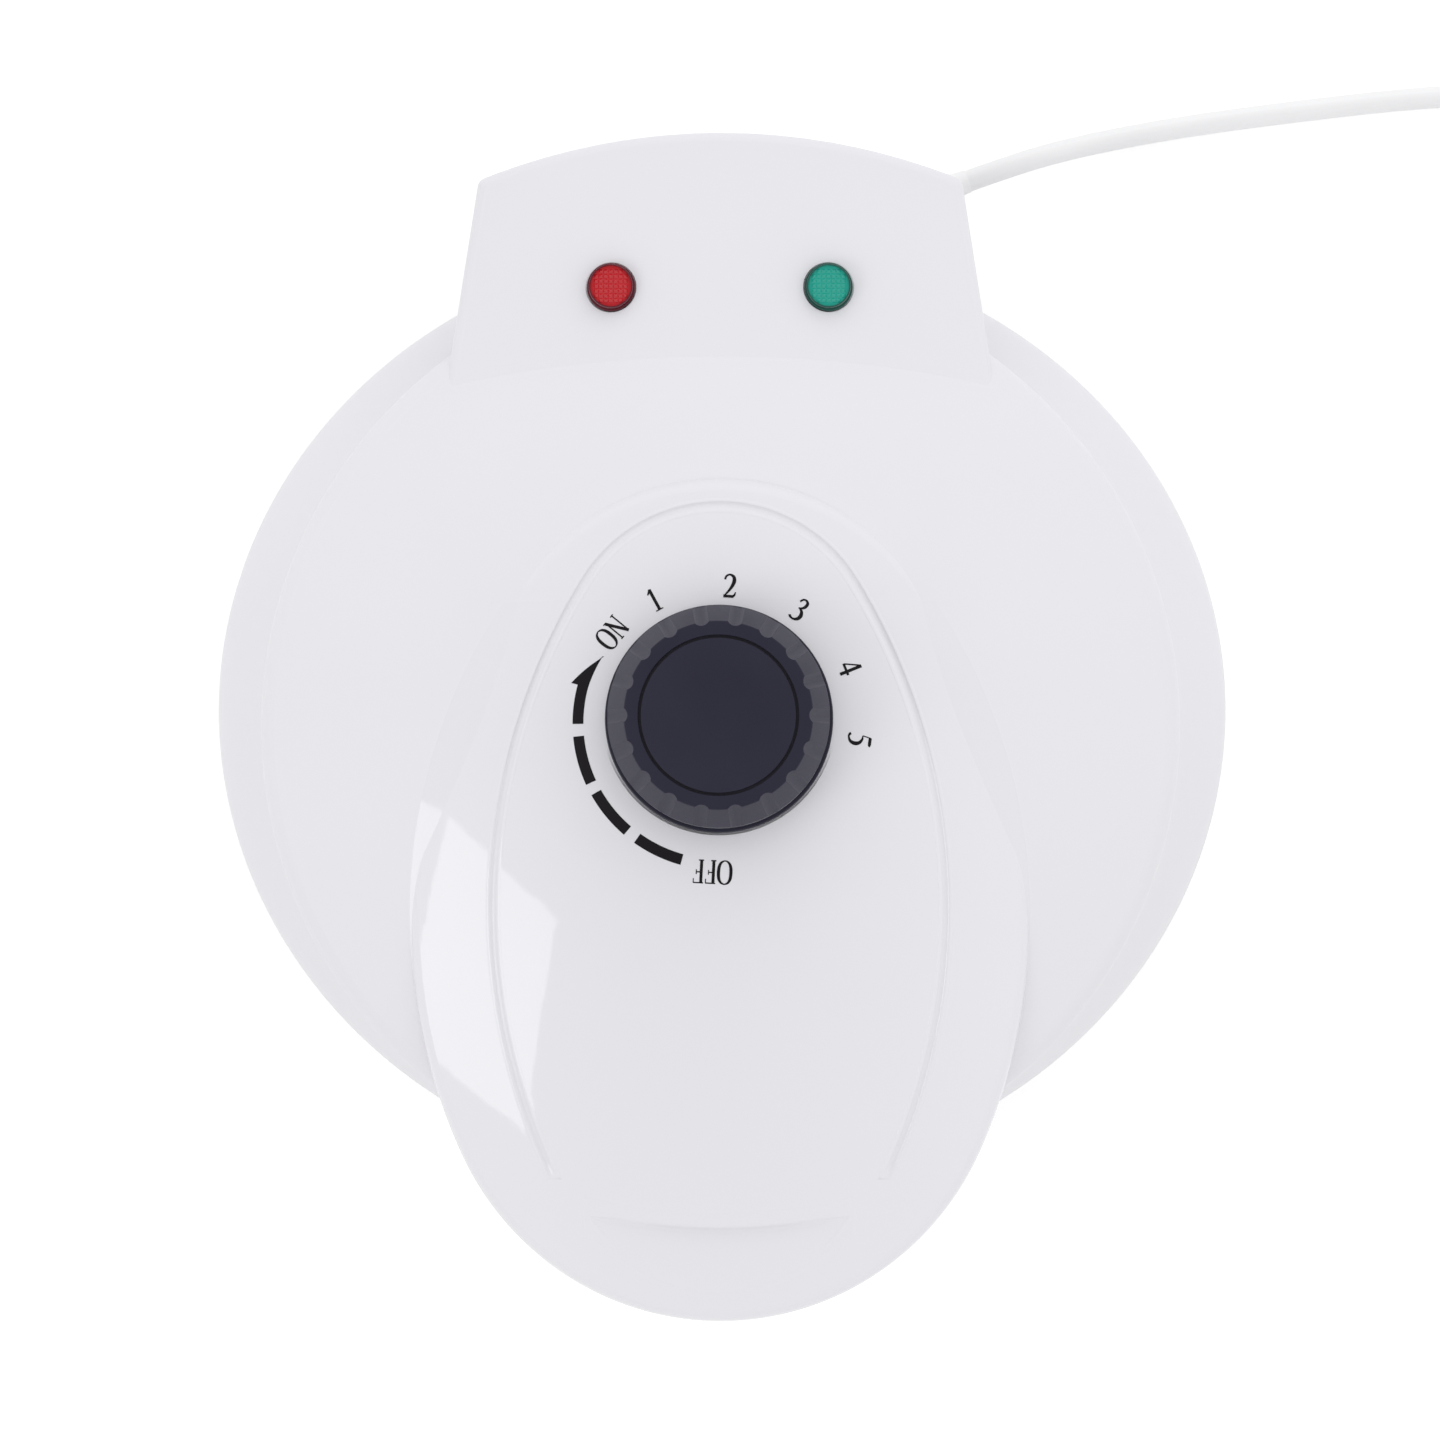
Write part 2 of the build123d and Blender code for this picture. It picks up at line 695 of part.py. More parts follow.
split_plane = Plane.XY.offset(split_level)
with BuildPart() as upper_plate:
    mirror(lower_plate.part, about=split_plane)
    with BuildSketch(Plane.XY.offset(plate_back)):
        with Locations((bracket_screw_x, 0), (-bracket_screw_x, 0)):
            Circle(bracket_boss_radius)
    extrude(amount=bracket_boss_height)
    with Locations(Plane.XY.offset(bracket_level)):
        with Locations((bracket_screw_x, 0), (-bracket_screw_x, 0)):
            Hole(bracket_screw_radius + running_clearance, depth=bracket_screw_depth + running_clearance)
finish(upper_plate, "upper_plate")


def plate_screws_form(length):
    """Screws down through the lower plate, a given length under their heads."""
    with BuildPart() as form:
        with BuildSketch(Plane.XY.offset(lower_face - plate_screw_recess)):
            with PolarLocations(plate_screw_circle, heart_count, start_angle=screw_start_angle):
                Circle(plate_screw_head_radius)
        extrude(amount=plate_screw_head_height)
        with BuildSketch(Plane.XY.offset(lower_face - plate_screw_recess)):
            with PolarLocations(plate_screw_circle, heart_count, start_angle=screw_start_angle):
                Circle(plate_screw_radius)
        extrude(amount=-length)
    return form.part


with BuildPart() as lower_plate_screws:
    add(plate_screws_form(lower_screw_length))
finish(lower_plate_screws, "lower_plate_screws")

with BuildPart() as lower_plate_spacers:
    with BuildSketch(Plane.XY.offset(lower_boss_top)):
        with PolarLocations(plate_screw_circle, heart_count, start_angle=screw_start_angle):
            Circle(spacer_radius)
            Circle(plate_screw_radius + running_clearance, mode=Mode.SUBTRACT)
    extrude(amount=spacer_thickness)
finish(lower_plate_spacers, "lower_plate_spacers")

# Heating elements: an open ring with two cold ends turned out to the rear

with BuildPart() as lower_heater:
    with BuildLine(Plane.XY.offset(heater_level)) as heater_path:
        ring = CenterArc((0, 0), heater_ring_radius, 90 + heater_gap_angle, 360 - 2 * heater_gap_angle)
        left_bend = JernArc(ring @ 0, -(ring % 0), heater_bend_radius, 90 - heater_gap_angle)
        right_bend = JernArc(ring @ 1, ring % 1, heater_bend_radius, heater_gap_angle - 90)
        left_end = Line(left_bend @ 1, (left_bend @ 1) + (0, heater_end_length))
        Line(right_bend @ 1, (right_bend @ 1) + (0, heater_end_length))
    end_plane = Plane(origin=left_end @ 1, z_dir=(0, 1, 0))
    with BuildSketch(end_plane):
        Circle(heater_tube_radius)
    sweep()
    pin_plane = Plane(origin=left_end @ 1, x_dir=(1, 0, 0), z_dir=(0, 1, 0))
    with BuildSketch(pin_plane):
        with Locations((0, 0), (-2 * (left_end @ 1).X, 0)):
            Circle(heater_pin_radius)
    extrude(amount=heater_pin_length)
finish(lower_heater, "lower_heater")
heater_end = left_end @ 1

with BuildPart() as upper_heater:
    mirror(lower_heater.part, about=split_plane)
finish(upper_heater, "upper_heater")

with BuildPart() as upper_plate_screws:
    mirror(plate_screws_form(upper_screw_length), about=split_plane)
finish(upper_plate_screws, "upper_plate_screws")

with BuildPart() as upper_plate_spacers:
    mirror(lower_plate_spacers.part, about=split_plane)
finish(upper_plate_spacers, "upper_plate_spacers")

# Reflector pans behind the plates

with BuildPart() as lower_reflector:
    with BuildSketch(Plane.XZ):
        with BuildLine():
            Polyline((0, deck_top), (reflector_radius - reflector_rim_height / 2, deck_top),
                     (reflector_radius, deck_top + reflector_rim_height),
                     (reflector_radius - reflector_gauge, deck_top + reflector_rim_height),
                     (reflector_radius - reflector_rim_height / 2 - reflector_gauge,
                      deck_top + reflector_gauge), (0, deck_top + reflector_gauge), close=True)
        make_face()
    revolve(axis=Axis.Z)
    with BuildSketch(Plane.XY.offset(deck_top)):
        with PolarLocations(plate_screw_circle, heart_count, start_angle=screw_start_angle):
            Circle(boss_radius + seat_clearance)
        with Locations((0, lead_slot_y)):
            SlotCenterToCenter(2 * heater_terminal_x, lead_slot_width)
    extrude(amount=reflector_rim_height + reflector_gauge, mode=Mode.SUBTRACT)
finish(lower_reflector, "lower_reflector")

reflector_top = 2 * split_level - heater_boss_bottom + seat_clearance + reflector_gauge
reflector_shoulder = heater_ring_radius + heater_tube_radius + heater_boss_wall + overlap
with BuildPart() as upper_reflector:
    with BuildSketch(Plane.XZ):
        with BuildLine():
            Polyline((0, reflector_top), (reflector_shoulder, reflector_top),
                     (plate_screw_circle - boss_radius - 2, plate_back + 2 * reflector_gauge),
                     (reflector_radius, plate_back + 2 * reflector_gauge),
                     (reflector_radius, plate_back + reflector_gauge),
                     (plate_screw_circle - boss_radius - 2 - reflector_gauge,
                      plate_back + reflector_gauge),
                     (reflector_shoulder - reflector_gauge, reflector_top - reflector_gauge),
                     (0, reflector_top - reflector_gauge), close=True)
        make_face()
    revolve(axis=Axis.Z)
    with BuildSketch(Plane.XY.offset(plate_back)):
        with PolarLocations(plate_screw_circle, heart_count, start_angle=screw_start_angle):
            Circle(boss_radius + seat_clearance)
        RectangleRounded(thermostat_length + 2 * overlap, thermostat_width + 2 * overlap, overlap)
        with Locations((0, reflector_shoulder - heater_bend_radius)):
            Rectangle(2 * (heater_terminal_x + heater_tube_radius + overlap), reflector_radius,
                      align=(Align.CENTER, Align.MIN))
    extrude(amount=reflector_top - plate_back + overlap, mode=Mode.SUBTRACT)
finish(upper_reflector, "upper_reflector")

# Lid shell: dome, egg with handle end, and hump, hollow below


def scoop_form(margin):
    """The thumb scoop at the front of the egg, grown by a margin."""
    front = Vector(0, scoop_front_y, egg_level(scoop_front_y))
    heel = Vector(0, scoop_rear_y, egg_level(scoop_rear_y) - scoop_depth)
    chord = heel - front
    rise = sqrt(scoop_floor_radius**2 - (chord.length / 2) ** 2)
    centre = (front + heel) / 2 + chord.normalized().rotate(Axis.X, 90) * rise
    crest = egg_level(scoop_rear_y) + overlap
    wall_drop = 2 * scoop_depth + 2 * overlap + margin
    crease = scoop_crease_radius - overlap * tan(radians(scoop_wall_angle)) - margin
    with BuildPart() as form:
        with Locations(centre):
            Sphere(scoop_floor_radius + margin)
        with BuildSketch(Plane.XY.offset(crest + scoop_depth)):
            with Locations((0, scoop_rear_y)):
                Circle(egg_half_width)
        extrude(amount=-3 * egg_half_width, mode=Mode.INTERSECT)
        with BuildSketch(Plane.XZ.offset(-(scoop_rear_y + scoop_crease_radius))):
            with BuildLine():
                Polyline((0, crest + 2 * scoop_depth), (crease, crest + 2 * scoop_depth), (crease, crest),
                         (crease + wall_drop * tan(radians(scoop_wall_angle)), crest - wall_drop),
                         (0, crest - wall_drop), close=True)
            make_face()
        revolve(axis=Axis((0, scoop_rear_y + scoop_crease_radius, 0), (0, 0, 1)), mode=Mode.SUBTRACT)
    return form.part


lamp_places = {"red": (-lamp_x, lamp_y), "green": (lamp_x, lamp_y)}
lamp_roof = hump_level(lamp_x, lamp_y)
lens_seat_level = lamp_roof - lens_seat_depth
lid_inner_radius = lid_radius - moulding_wall
egg_hollow = egg_form(moulding_wall, handle_seam_level - overlap)
handle_screw_places = ((-handle_screw_x, handle_screw_y), (handle_screw_x, handle_screw_y))
boss_turns = dict(radius=plate_screw_circle, count=heart_count, start_angle=screw_start_angle)

with BuildPart() as egg_hollow_under_dome:
    add(egg_hollow)
    with BuildSketch(Plane.XY.offset(handle_seam_level - overlap)):
        Circle(lid_inner_radius)
    extrude(amount=egg_top_level, mode=Mode.INTERSECT)
    with BuildSketch(Plane.XY.offset(knob_seat_level - moulding_wall)):
        Circle(knob_seat_radius + moulding_wall)
    extrude(amount=egg_top_level, mode=Mode.SUBTRACT)

with BuildPart() as handle_hollow:
    add(egg_hollow)
    with BuildSketch(Plane.XY.offset(handle_seam_level - overlap)):
        Circle(lid_radius)
    extrude(amount=egg_top_level, mode=Mode.SUBTRACT)
    add(scoop_form(moulding_wall), mode=Mode.SUBTRACT)

with BuildPart() as pressed_line:
    with BuildSketch(Plane.XY.offset(lid_rim_level)):
        for half_change, mode in ((line_width / 2, Mode.ADD), (-line_width / 2, Mode.SUBTRACT)):
            with BuildLine():
                egg_outline(line_half_width + half_change, line_side_radius + half_change, line_widest_y,
                            line_rear_radius + half_change, line_rear_radius + half_change)
                mirror(about=Plane.YZ)
            make_face(mode=mode)
        with Locations((0, line_end_y)):
            Rectangle(2 * egg_half_width, lid_radius, align=(Align.CENTER, Align.MAX), mode=Mode.SUBTRACT)
    extrude(amount=egg_top_level - lid_rim_level)
    add(egg_top_form(line_depth), mode=Mode.SUBTRACT)

with BuildPart() as lid_outside:
    add(dome_form(0))
    add(egg_form(0, handle_seam_level))
    add(hump_form(0, lid_rim_level))

# What stands inside the shell, cut off at its outer surface
with BuildPart() as lid_bosses:
    with BuildSketch(Plane.XY.offset(upper_boss_level)):
        with PolarLocations(**boss_turns):
            Circle(boss_radius)
    extrude(amount=egg_top_level - upper_boss_level)
    with BuildSketch(Plane.XY.offset(handle_seam_level)):
        with Locations(*handle_screw_places):
            Circle(handle_boss_radius)
    extrude(amount=egg_top_level - handle_seam_level)
    add(lid_outside.part, mode=Mode.INTERSECT)
    add(scoop_form(0), mode=Mode.SUBTRACT)

with BuildPart() as hinge_arms:
    with BuildSketch(Plane.YZ.offset(barrel_length / 2 + arm_gap)):
        with Locations((hinge_y, hinge_level)):
            Circle(arm_radius)
            Rectangle(arm_web_length, hump_front_level, align=(Align.CENTER, Align.MIN))
    extrude(amount=arm_thickness)
    mirror(about=Plane.YZ)
    add(hump_form(0, hinge_level - arm_radius - overlap), mode=Mode.INTERSECT)

with BuildPart() as lid_shell:
    add(lid_outside.part)
    add(pressed_line.part, mode=Mode.SUBTRACT)
    add(scoop_form(0), mode=Mode.SUBTRACT)
    with BuildSketch(Plane.XY.offset(knob_seat_level)):
        Circle(knob_seat_radius)
    extrude(amount=egg_top_level, mode=Mode.SUBTRACT)
    add(dome_form(moulding_wall), mode=Mode.SUBTRACT)
    add(hump_form(moulding_wall, lid_rim_level - overlap), mode=Mode.SUBTRACT)
    add(egg_hollow_under_dome.part, mode=Mode.SUBTRACT)
    add(handle_hollow.part, mode=Mode.SUBTRACT)
    add(lid_bosses.part)
    add(hinge_arms.part)
    with BuildSketch(Plane.XY.offset(upper_boss_level)):
        with PolarLocations(**boss_turns):
            Circle(plate_screw_radius + running_clearance)
    extrude(amount=upper_screw_grip, mode=Mode.SUBTRACT)
    with BuildSketch(Plane.XY.offset(handle_seam_level)):
        with Locations(*handle_screw_places):
            Circle(handle_screw_radius + running_clearance)
    extrude(amount=handle_screw_length, mode=Mode.SUBTRACT)
    with BuildSketch(Plane.YZ.offset(-barrel_length / 2)):
        with Locations((hinge_y, hinge_level)):
            Circle(pin_radius + running_clearance)
    extrude(amount=-arm_gap - arm_thickness, mode=Mode.SUBTRACT)
    with BuildSketch(Plane.YZ.offset(barrel_length / 2)):
        with Locations((hinge_y, hinge_level)):
            Circle(bush_radius + running_clearance)
    extrude(amount=arm_gap + arm_thickness, mode=Mode.SUBTRACT)
    with BuildSketch(Plane.XY.offset(lens_seat_level)):
        with Locations(*lamp_places.values()):
            Circle(lens_flange_radius + seat_clearance)
    extrude(amount=lamp_roof, mode=Mode.SUBTRACT)
    with BuildSketch(Plane.XY.offset(lens_seat_level)):
        with Locations(*lamp_places.values()):
            Circle(lens_tube_radius + running_clearance)
    extrude(amount=-2 * moulding_wall, mode=Mode.SUBTRACT)
    with BuildSketch(Plane.XY.offset(knob_seat_level)):
        Circle(shaft_hole_radius)
    extrude(amount=-2 * moulding_wall, mode=Mode.SUBTRACT)
finish(lid_shell, "lid_shell")

# Handle cover, the lower half of the handle

with BuildPart() as handle_cover:
    with BuildSketch(Plane.XY.offset(handle_cover_level)):
        with BuildLine():
            egg_outline(egg_half_width, egg_side_radius, egg_widest_y, egg_rear_radius, egg_front_radius)
            mirror(about=Plane.YZ)
        make_face()
    extrude(amount=handle_seam_level - handle_cover_level)
    fillet(handle_cover.faces().sort_by(Axis.Z)[0].edges(), handle_cover_edge_radius)
    with BuildSketch(Plane.XY.offset(handle_cover_level)):
        Circle(lid_radius + handle_cover_lid_gap)
    extrude(amount=handle_seam_level, mode=Mode.SUBTRACT)
    with Locations(Plane.XY.offset(handle_cover_level).rotated((180, 0, 0))):
        with Locations(*((x, -y) for x, y in handle_screw_places)):
            CounterBoreHole(handle_screw_radius + running_clearance,
                            handle_screw_head_radius + running_clearance, handle_screw_head_height)
finish(handle_cover, "handle_cover")

handle_screw_seat = handle_cover_level + handle_screw_head_height
with BuildPart() as handle_cover_screws:
    with BuildSketch(Plane.XY.offset(handle_screw_seat)):
        with Locations(*handle_screw_places):
            Circle(handle_screw_head_radius)
    extrude(amount=-handle_screw_head_height)
    with BuildSketch(Plane.XY.offset(handle_screw_seat)):
        with Locations(*handle_screw_places):
            Circle(handle_screw_radius)
    extrude(amount=handle_screw_length)
finish(handle_cover_screws, "handle_cover_screws")

# Hinge pin on the left and hollow bush on the right, both held by the barrel

pin_inner_x = barrel_length / 2 - barrel_end_wall
pin_head_x = barrel_length / 2 + arm_gap + arm_thickness + seat_clearance
pin_outer_x = pin_head_x + pin_head_thickness

with BuildPart() as hinge_pin_left:
    with BuildSketch(Plane.YZ.offset(-pin_inner_x)):
        with Locations((hinge_y, hinge_level)):
            Circle(pin_radius)
    extrude(amount=pin_inner_x - pin_head_x)
    with BuildSketch(Plane.YZ.offset(-pin_head_x)):
        with Locations((hinge_y, hinge_level)):
            Circle(pin_head_radius)
    extrude(amount=-pin_head_thickness)
finish(hinge_pin_left, "hinge_pin_left")

with BuildPart() as hinge_bush_right:
    with BuildSketch(Plane.YZ.offset(pin_inner_x)):
        with Locations((hinge_y, hinge_level)):
            Circle(bush_radius)
    extrude(amount=pin_head_x - pin_inner_x)
    with BuildSketch(Plane.YZ.offset(pin_head_x)):
        with Locations((hinge_y, hinge_level)):
            Circle(pin_head_radius)
    extrude(amount=pin_head_thickness)
    with BuildSketch(Plane.YZ.offset(pin_inner_x)):
        with Locations((hinge_y, hinge_level)):
            Circle(bush_bore_radius)
    extrude(amount=pin_outer_x - pin_inner_x, mode=Mode.SUBTRACT)
finish(hinge_bush_right, "hinge_bush_right")

# Thermostat on a bracket over the upper plate, with its fuse beside it

bracket_screw_places = ((bracket_screw_x, 0), (-bracket_screw_x, 0))

with BuildPart() as thermostat_bracket:
    with BuildSketch(Plane.XY.offset(bracket_level)):
        RectangleRounded(bracket_length, bracket_width, bracket_boss_radius)
        with Locations(*bracket_screw_places):
            Circle(bracket_screw_radius + running_clearance, mode=Mode.SUBTRACT)
    extrude(amount=bracket_gauge)
finish(thermostat_bracket, "thermostat_bracket")

with BuildPart() as thermostat_bracket_screws:
    with BuildSketch(Plane.XY.offset(thermostat_level)):
        with Locations(*bracket_screw_places):
            Circle(bracket_screw_head_radius)
    extrude(amount=bracket_screw_head_height)
    with BuildSketch(Plane.XY.offset(thermostat_level)):
        with Locations(*bracket_screw_places):
            Circle(bracket_screw_radius)
    extrude(amount=-bracket_gauge - bracket_screw_depth)
finish(thermostat_bracket_screws, "thermostat_bracket_screws")

thermostat_top = thermostat_level + thermostat_height
with BuildPart() as thermostat_body:
    with BuildSketch(Plane.XY.offset(thermostat_level)):
        RectangleRounded(thermostat_length, thermostat_width, thermostat_corner_radius)
    extrude(amount=thermostat_height)
    with BuildSketch(Plane.XY.offset(thermostat_top)):
        Circle(thermostat_neck_radius)
    extrude(amount=thermostat_neck_height)
    with Locations(Plane.XY.offset(thermostat_top + thermostat_neck_height)):
        Hole(shaft_radius + running_clearance, depth=thermostat_neck_height + shaft_depth)
finish(thermostat_body, "thermostat_body")

fuse_level = plate_back + fuse_radius
with BuildPart() as thermal_fuse:
    with BuildSketch(Plane.XZ.offset(-fuse_length / 2)):
        with Locations((fuse_x, fuse_level)):
            Circle(fuse_radius)
    extrude(amount=fuse_length)
finish(thermal_fuse, "thermal_fuse")

clip_radius = fuse_radius + running_clearance + fuse_clip_gauge
with BuildPart() as fuse_clip:
    with BuildSketch(Plane.XZ.offset(-fuse_clip_width / 2)):
        with Locations((fuse_x, fuse_level)):
            Circle(clip_radius)
        with Locations((fuse_x, plate_back)):
            Rectangle(2 * clip_radius, fuse_radius, align=(Align.CENTER, Align.MIN))
            Rectangle(2 * (clip_radius + fuse_clip_foot), fuse_clip_gauge, align=(Align.CENTER, Align.MIN))
        with Locations((fuse_x, fuse_level)):
            Circle(fuse_radius + running_clearance, mode=Mode.SUBTRACT)
            Rectangle(2 * (fuse_radius + running_clearance), fuse_level, align=(Align.CENTER, Align.MAX),
                      mode=Mode.SUBTRACT)
        with Locations((fuse_x, plate_back)):
            Rectangle(4 * clip_radius, plate_back, align=(Align.CENTER, Align.MAX), mode=Mode.SUBTRACT)
    extrude(amount=fuse_clip_width)
finish(fuse_clip, "fuse_clip")

# Knob on its shaft

with BuildPart() as thermostat_shaft:
    with BuildSketch(Plane.XY.offset(thermostat_top - shaft_depth + seat_clearance)):
        Circle(shaft_radius)
    extrude(amount=shaft_top - thermostat_top + shaft_depth - seat_clearance)
    with BuildSketch(Plane.XY.offset(shaft_top - shaft_flat_length)):
        with Locations((shaft_radius - shaft_flat, 0)):
            Rectangle(shaft_radius, 2 * shaft_radius, align=(Align.MIN, Align.CENTER))
    extrude(amount=shaft_flat_length, mode=Mode.SUBTRACT)
finish(thermostat_shaft, "thermostat_shaft")

knob_shoulder_level = knob_top_level - knob_bevel_height
knob_roof = knob_top_level - cap_thickness - knob_wall
with BuildPart() as knob:
    with BuildSketch(Plane.XZ):
        with BuildLine():
            Polyline((0, knob_bottom), (knob_radius, knob_bottom),
                     (knob_radius, knob_bottom + knob_flange_height),
                     (knob_shoulder_radius, knob_bottom + knob_flange_height),
                     (knob_shoulder_radius, knob_shoulder_level), (knob_top_radius, knob_top_level),
                     (0, knob_top_level), close=True)
        make_face()
    revolve(axis=Axis.Z)
    with BuildSketch(Plane.XY.offset(knob_bottom + knob_flange_height)):
        with PolarLocations(knob_flute_centre, knob_flute_count):
            Circle(knob_flute_radius)
    extrude(amount=knob_top_level, mode=Mode.SUBTRACT)
    with BuildSketch(Plane.XY.offset(knob_top_level)):
        Circle(cap_radius + cap_groove)
    extrude(amount=-cap_thickness, mode=Mode.SUBTRACT)
    with BuildSketch(Plane.XY.offset(knob_bottom)):
        Circle(knob_hollow_radius)
        Circle(knob_hub_radius, mode=Mode.SUBTRACT)
    extrude(amount=knob_roof - knob_bottom, mode=Mode.SUBTRACT)
    with BuildSketch(Plane.XY.offset(knob_bottom)):
        Circle(shaft_radius + running_clearance)
        with Locations((shaft_radius + running_clearance - shaft_flat, 0)):
            Rectangle(shaft_radius, 2 * shaft_radius, align=(Align.MIN, Align.CENTER), mode=Mode.SUBTRACT)
    extrude(amount=shaft_top + seat_clearance - knob_bottom, mode=Mode.SUBTRACT)
    with BuildSketch(Plane.XY.offset(knob_bottom)):
        Circle(shaft_radius + running_clearance)
    extrude(amount=shaft_top - shaft_flat_length + seat_clearance - knob_bottom, mode=Mode.SUBTRACT)
finish(knob, "knob")

with BuildPart() as knob_cap:
    with BuildSketch(Plane.XY.offset(knob_top_level - cap_thickness)):
        Circle(cap_radius)
    extrude(amount=cap_thickness)
finish(knob_cap, "knob_cap")

# Indicator lights: lens, collar that holds it, and neon lamp in its bore

collar_top = lamp_roof - moulding_wall - collar_drop
for lamp_name, lamp_place in lamp_places.items():
    with BuildPart() as lens:
        with BuildSketch(Plane.XY.offset(lens_seat_level - lens_tube_length)):
            with Locations(lamp_place):
                Circle(lens_tube_radius)
        extrude(amount=lens_tube_length)
        with BuildSketch(Plane.XY.offset(lens_seat_level)):
            with Locations(lamp_place):
                Circle(lens_flange_radius)
        extrude(amount=lens_flange_thickness)
        with BuildSketch(Plane.XY.offset(lens_seat_level + lens_flange_thickness)):
            with Locations(lamp_place):
                Circle(lens_radius)
        extrude(amount=lens_rise)
        fillet(lens.edges().sort_by(Axis.Z)[-1], lens_edge_radius)
        with BuildSketch(Plane.XY.offset(lens_seat_level - lens_tube_length)):
            with Locations(lamp_place):
                Circle(lens_bore_radius)
        extrude(amount=lens_tube_length + lens_flange_thickness - lens_face_thickness, mode=Mode.SUBTRACT)
    finish(lens, f"{lamp_name}_lens")

    with BuildPart() as collar:
        with BuildSketch(Plane.XY.offset(collar_top)):
            with Locations(lamp_place):
                Circle(collar_radius)
                Circle(lens_tube_radius + running_clearance, mode=Mode.SUBTRACT)
        extrude(amount=-collar_height)
    finish(collar, f"lamp_collar_{lamp_name}")

    with BuildPart() as neon_lamp:
        with BuildSketch(Plane.XY.offset(lens_seat_level - neon_length)):
            with Locations(lamp_place):
                Circle(neon_radius)
        extrude(amount=neon_length)
        fillet(neon_lamp.edges().sort_by(Axis.Z)[-1], neon_radius / 2)
    finish(neon_lamp, f"neon_lamp_{lamp_name}")

# Terminal block on the base cover and the clamp over the cord

terminal_front_y = terminal_y - terminal_width / 2
terminal_rear_y = terminal_y + terminal_width / 2
with BuildPart() as terminal_block:
    with BuildSketch(Plane.XY.offset(cover_top)):
        with Locations((0, terminal_y)):
            Rectangle(terminal_length, terminal_width)
    extrude(amount=terminal_height)
finish(terminal_block, "terminal_block")

with BuildPart() as cord_clamp:
    with BuildSketch(Plane.XY.offset(clamp_level)):
        with Locations((clamp_x, clamp_y)):
            RectangleRounded(clamp_length, clamp_width, clamp_post_radius)
        with Locations(*clamp_screw_places):
            Circle(clamp_screw_radius + running_clearance, mode=Mode.SUBTRACT)
    extrude(amount=clamp_height)
finish(cord_clamp, "cord_clamp")

with BuildPart() as cord_clamp_screws:
    with BuildSketch(Plane.XY.offset(clamp_level + clamp_height)):
        with Locations(*clamp_screw_places):
            Circle(clamp_screw_head_radius)
    extrude(amount=clamp_screw_head_height)
    with BuildSketch(Plane.XY.offset(clamp_level + clamp_height)):
        with Locations(*clamp_screw_places):
            Circle(clamp_screw_radius)
    extrude(amount=-clamp_screw_length)
finish(cord_clamp_screws, "cord_clamp_screws")


# Wires and cord


def bend_radii(points):
    """As large an arc at each corner as its two runs allow."""
    runs = [second - first for first, second in zip(points, points[1:])]
    radii = []
    for before, after in zip(runs, runs[1:]):
        half_turn = radians(before.get_angle(after)) / 2
        radii.append(0.45 * min(before.length, after.length) / tan(half_turn))
    return radii


def tube(points, radius):
    """A round wire along straight runs joined by arcs."""
    with BuildPart() as form:
        with BuildLine() as path:
            FilletPolyline(*points, radius=bend_radii(points))
        with BuildSketch(Plane(origin=path.line @ 0, z_dir=path.line % 0)):
            Circle(radius)
        sweep()
    return form.part


# Leads from the terminal block up the neck and out through the hinge's bush
lead_level = cover_top + terminal_height / 2
neck_middle_y = (neck_front_y + neck_rear_y) / 2
lead_x = -terminal_length / 4
lead_end_x = pin_outer_x + seat_clearance
with BuildPart() as base_leads:
    add(tube([Vector(lead_x, terminal_rear_y, lead_level), Vector(lead_x, neck_middle_y, lead_level),
              Vector(lead_x, neck_middle_y, hinge_level - barrel_radius / 2),
              Vector(0, hinge_y, hinge_level), Vector(lead_end_x, hinge_y, hinge_level)],
             sleeve_radius))
finish(base_leads, "base_leads")

# Leads on the lid, from the bush round the right arm and over the upper plate to the thermostat
lid_lead_level = reflector_top + sleeve_radius + overlap
with BuildPart() as lid_leads:
    add(tube([Vector(lead_end_x + seat_clearance, hinge_y, hinge_level),
              Vector(lead_end_x + 6, hinge_y, hinge_level),
              Vector(lead_end_x + 6, hinge_y - 6, hinge_level + 8),
              Vector(lead_end_x - 6, hinge_y - 16, hinge_level + 10.5),
              Vector(14, 101.5, plate_back - 2), Vector(2, 88, plate_back + 4.5),
              Vector(0, 72, plate_back + 8.6), Vector(0, 50, lid_lead_level),
              Vector(0, thermostat_width / 2, lid_lead_level)], sleeve_radius))
finish(lid_leads, "lid_leads")

# Wires from the heaters' cold ends to the terminal block and to the thermostat
with BuildPart() as heater_leads:
    for side in (-1, 1):
        add(tube([Vector(side * heater_terminal_x, heater_pin_tip_y, heater_level),
                  Vector(side * heater_terminal_x, lead_slot_y, heater_level),
                  Vector(side * heater_terminal_x, lead_slot_y, cover_top + terminal_height)], wire_radius))
finish(heater_leads, "heater_leads")

upper_heater_level = 2 * split_level - heater_level
wire_level = reflector_top + wire_radius + overlap
with BuildPart() as upper_heater_leads:
    for side in (-1, 1):
        add(tube([Vector(side * heater_terminal_x, heater_pin_tip_y, upper_heater_level),
                  Vector(side * heater_terminal_x, lead_slot_y, upper_heater_level),
                  Vector(side * (heater_terminal_x + 7), lead_slot_y, upper_heater_level + 1),
                  Vector(side * (heater_terminal_x + 8), heater_pin_tip_y - 6, reflector_top),
                  Vector(side * (heater_terminal_x + 2), 50, wire_level),
                  Vector(side * (heater_terminal_x + 2), thermostat_width / 2, wire_level)], wire_radius))
finish(upper_heater_leads, "upper_heater_leads")

# Strain relief in the outlet's slanting wall, and the cord inside from it to the terminal block

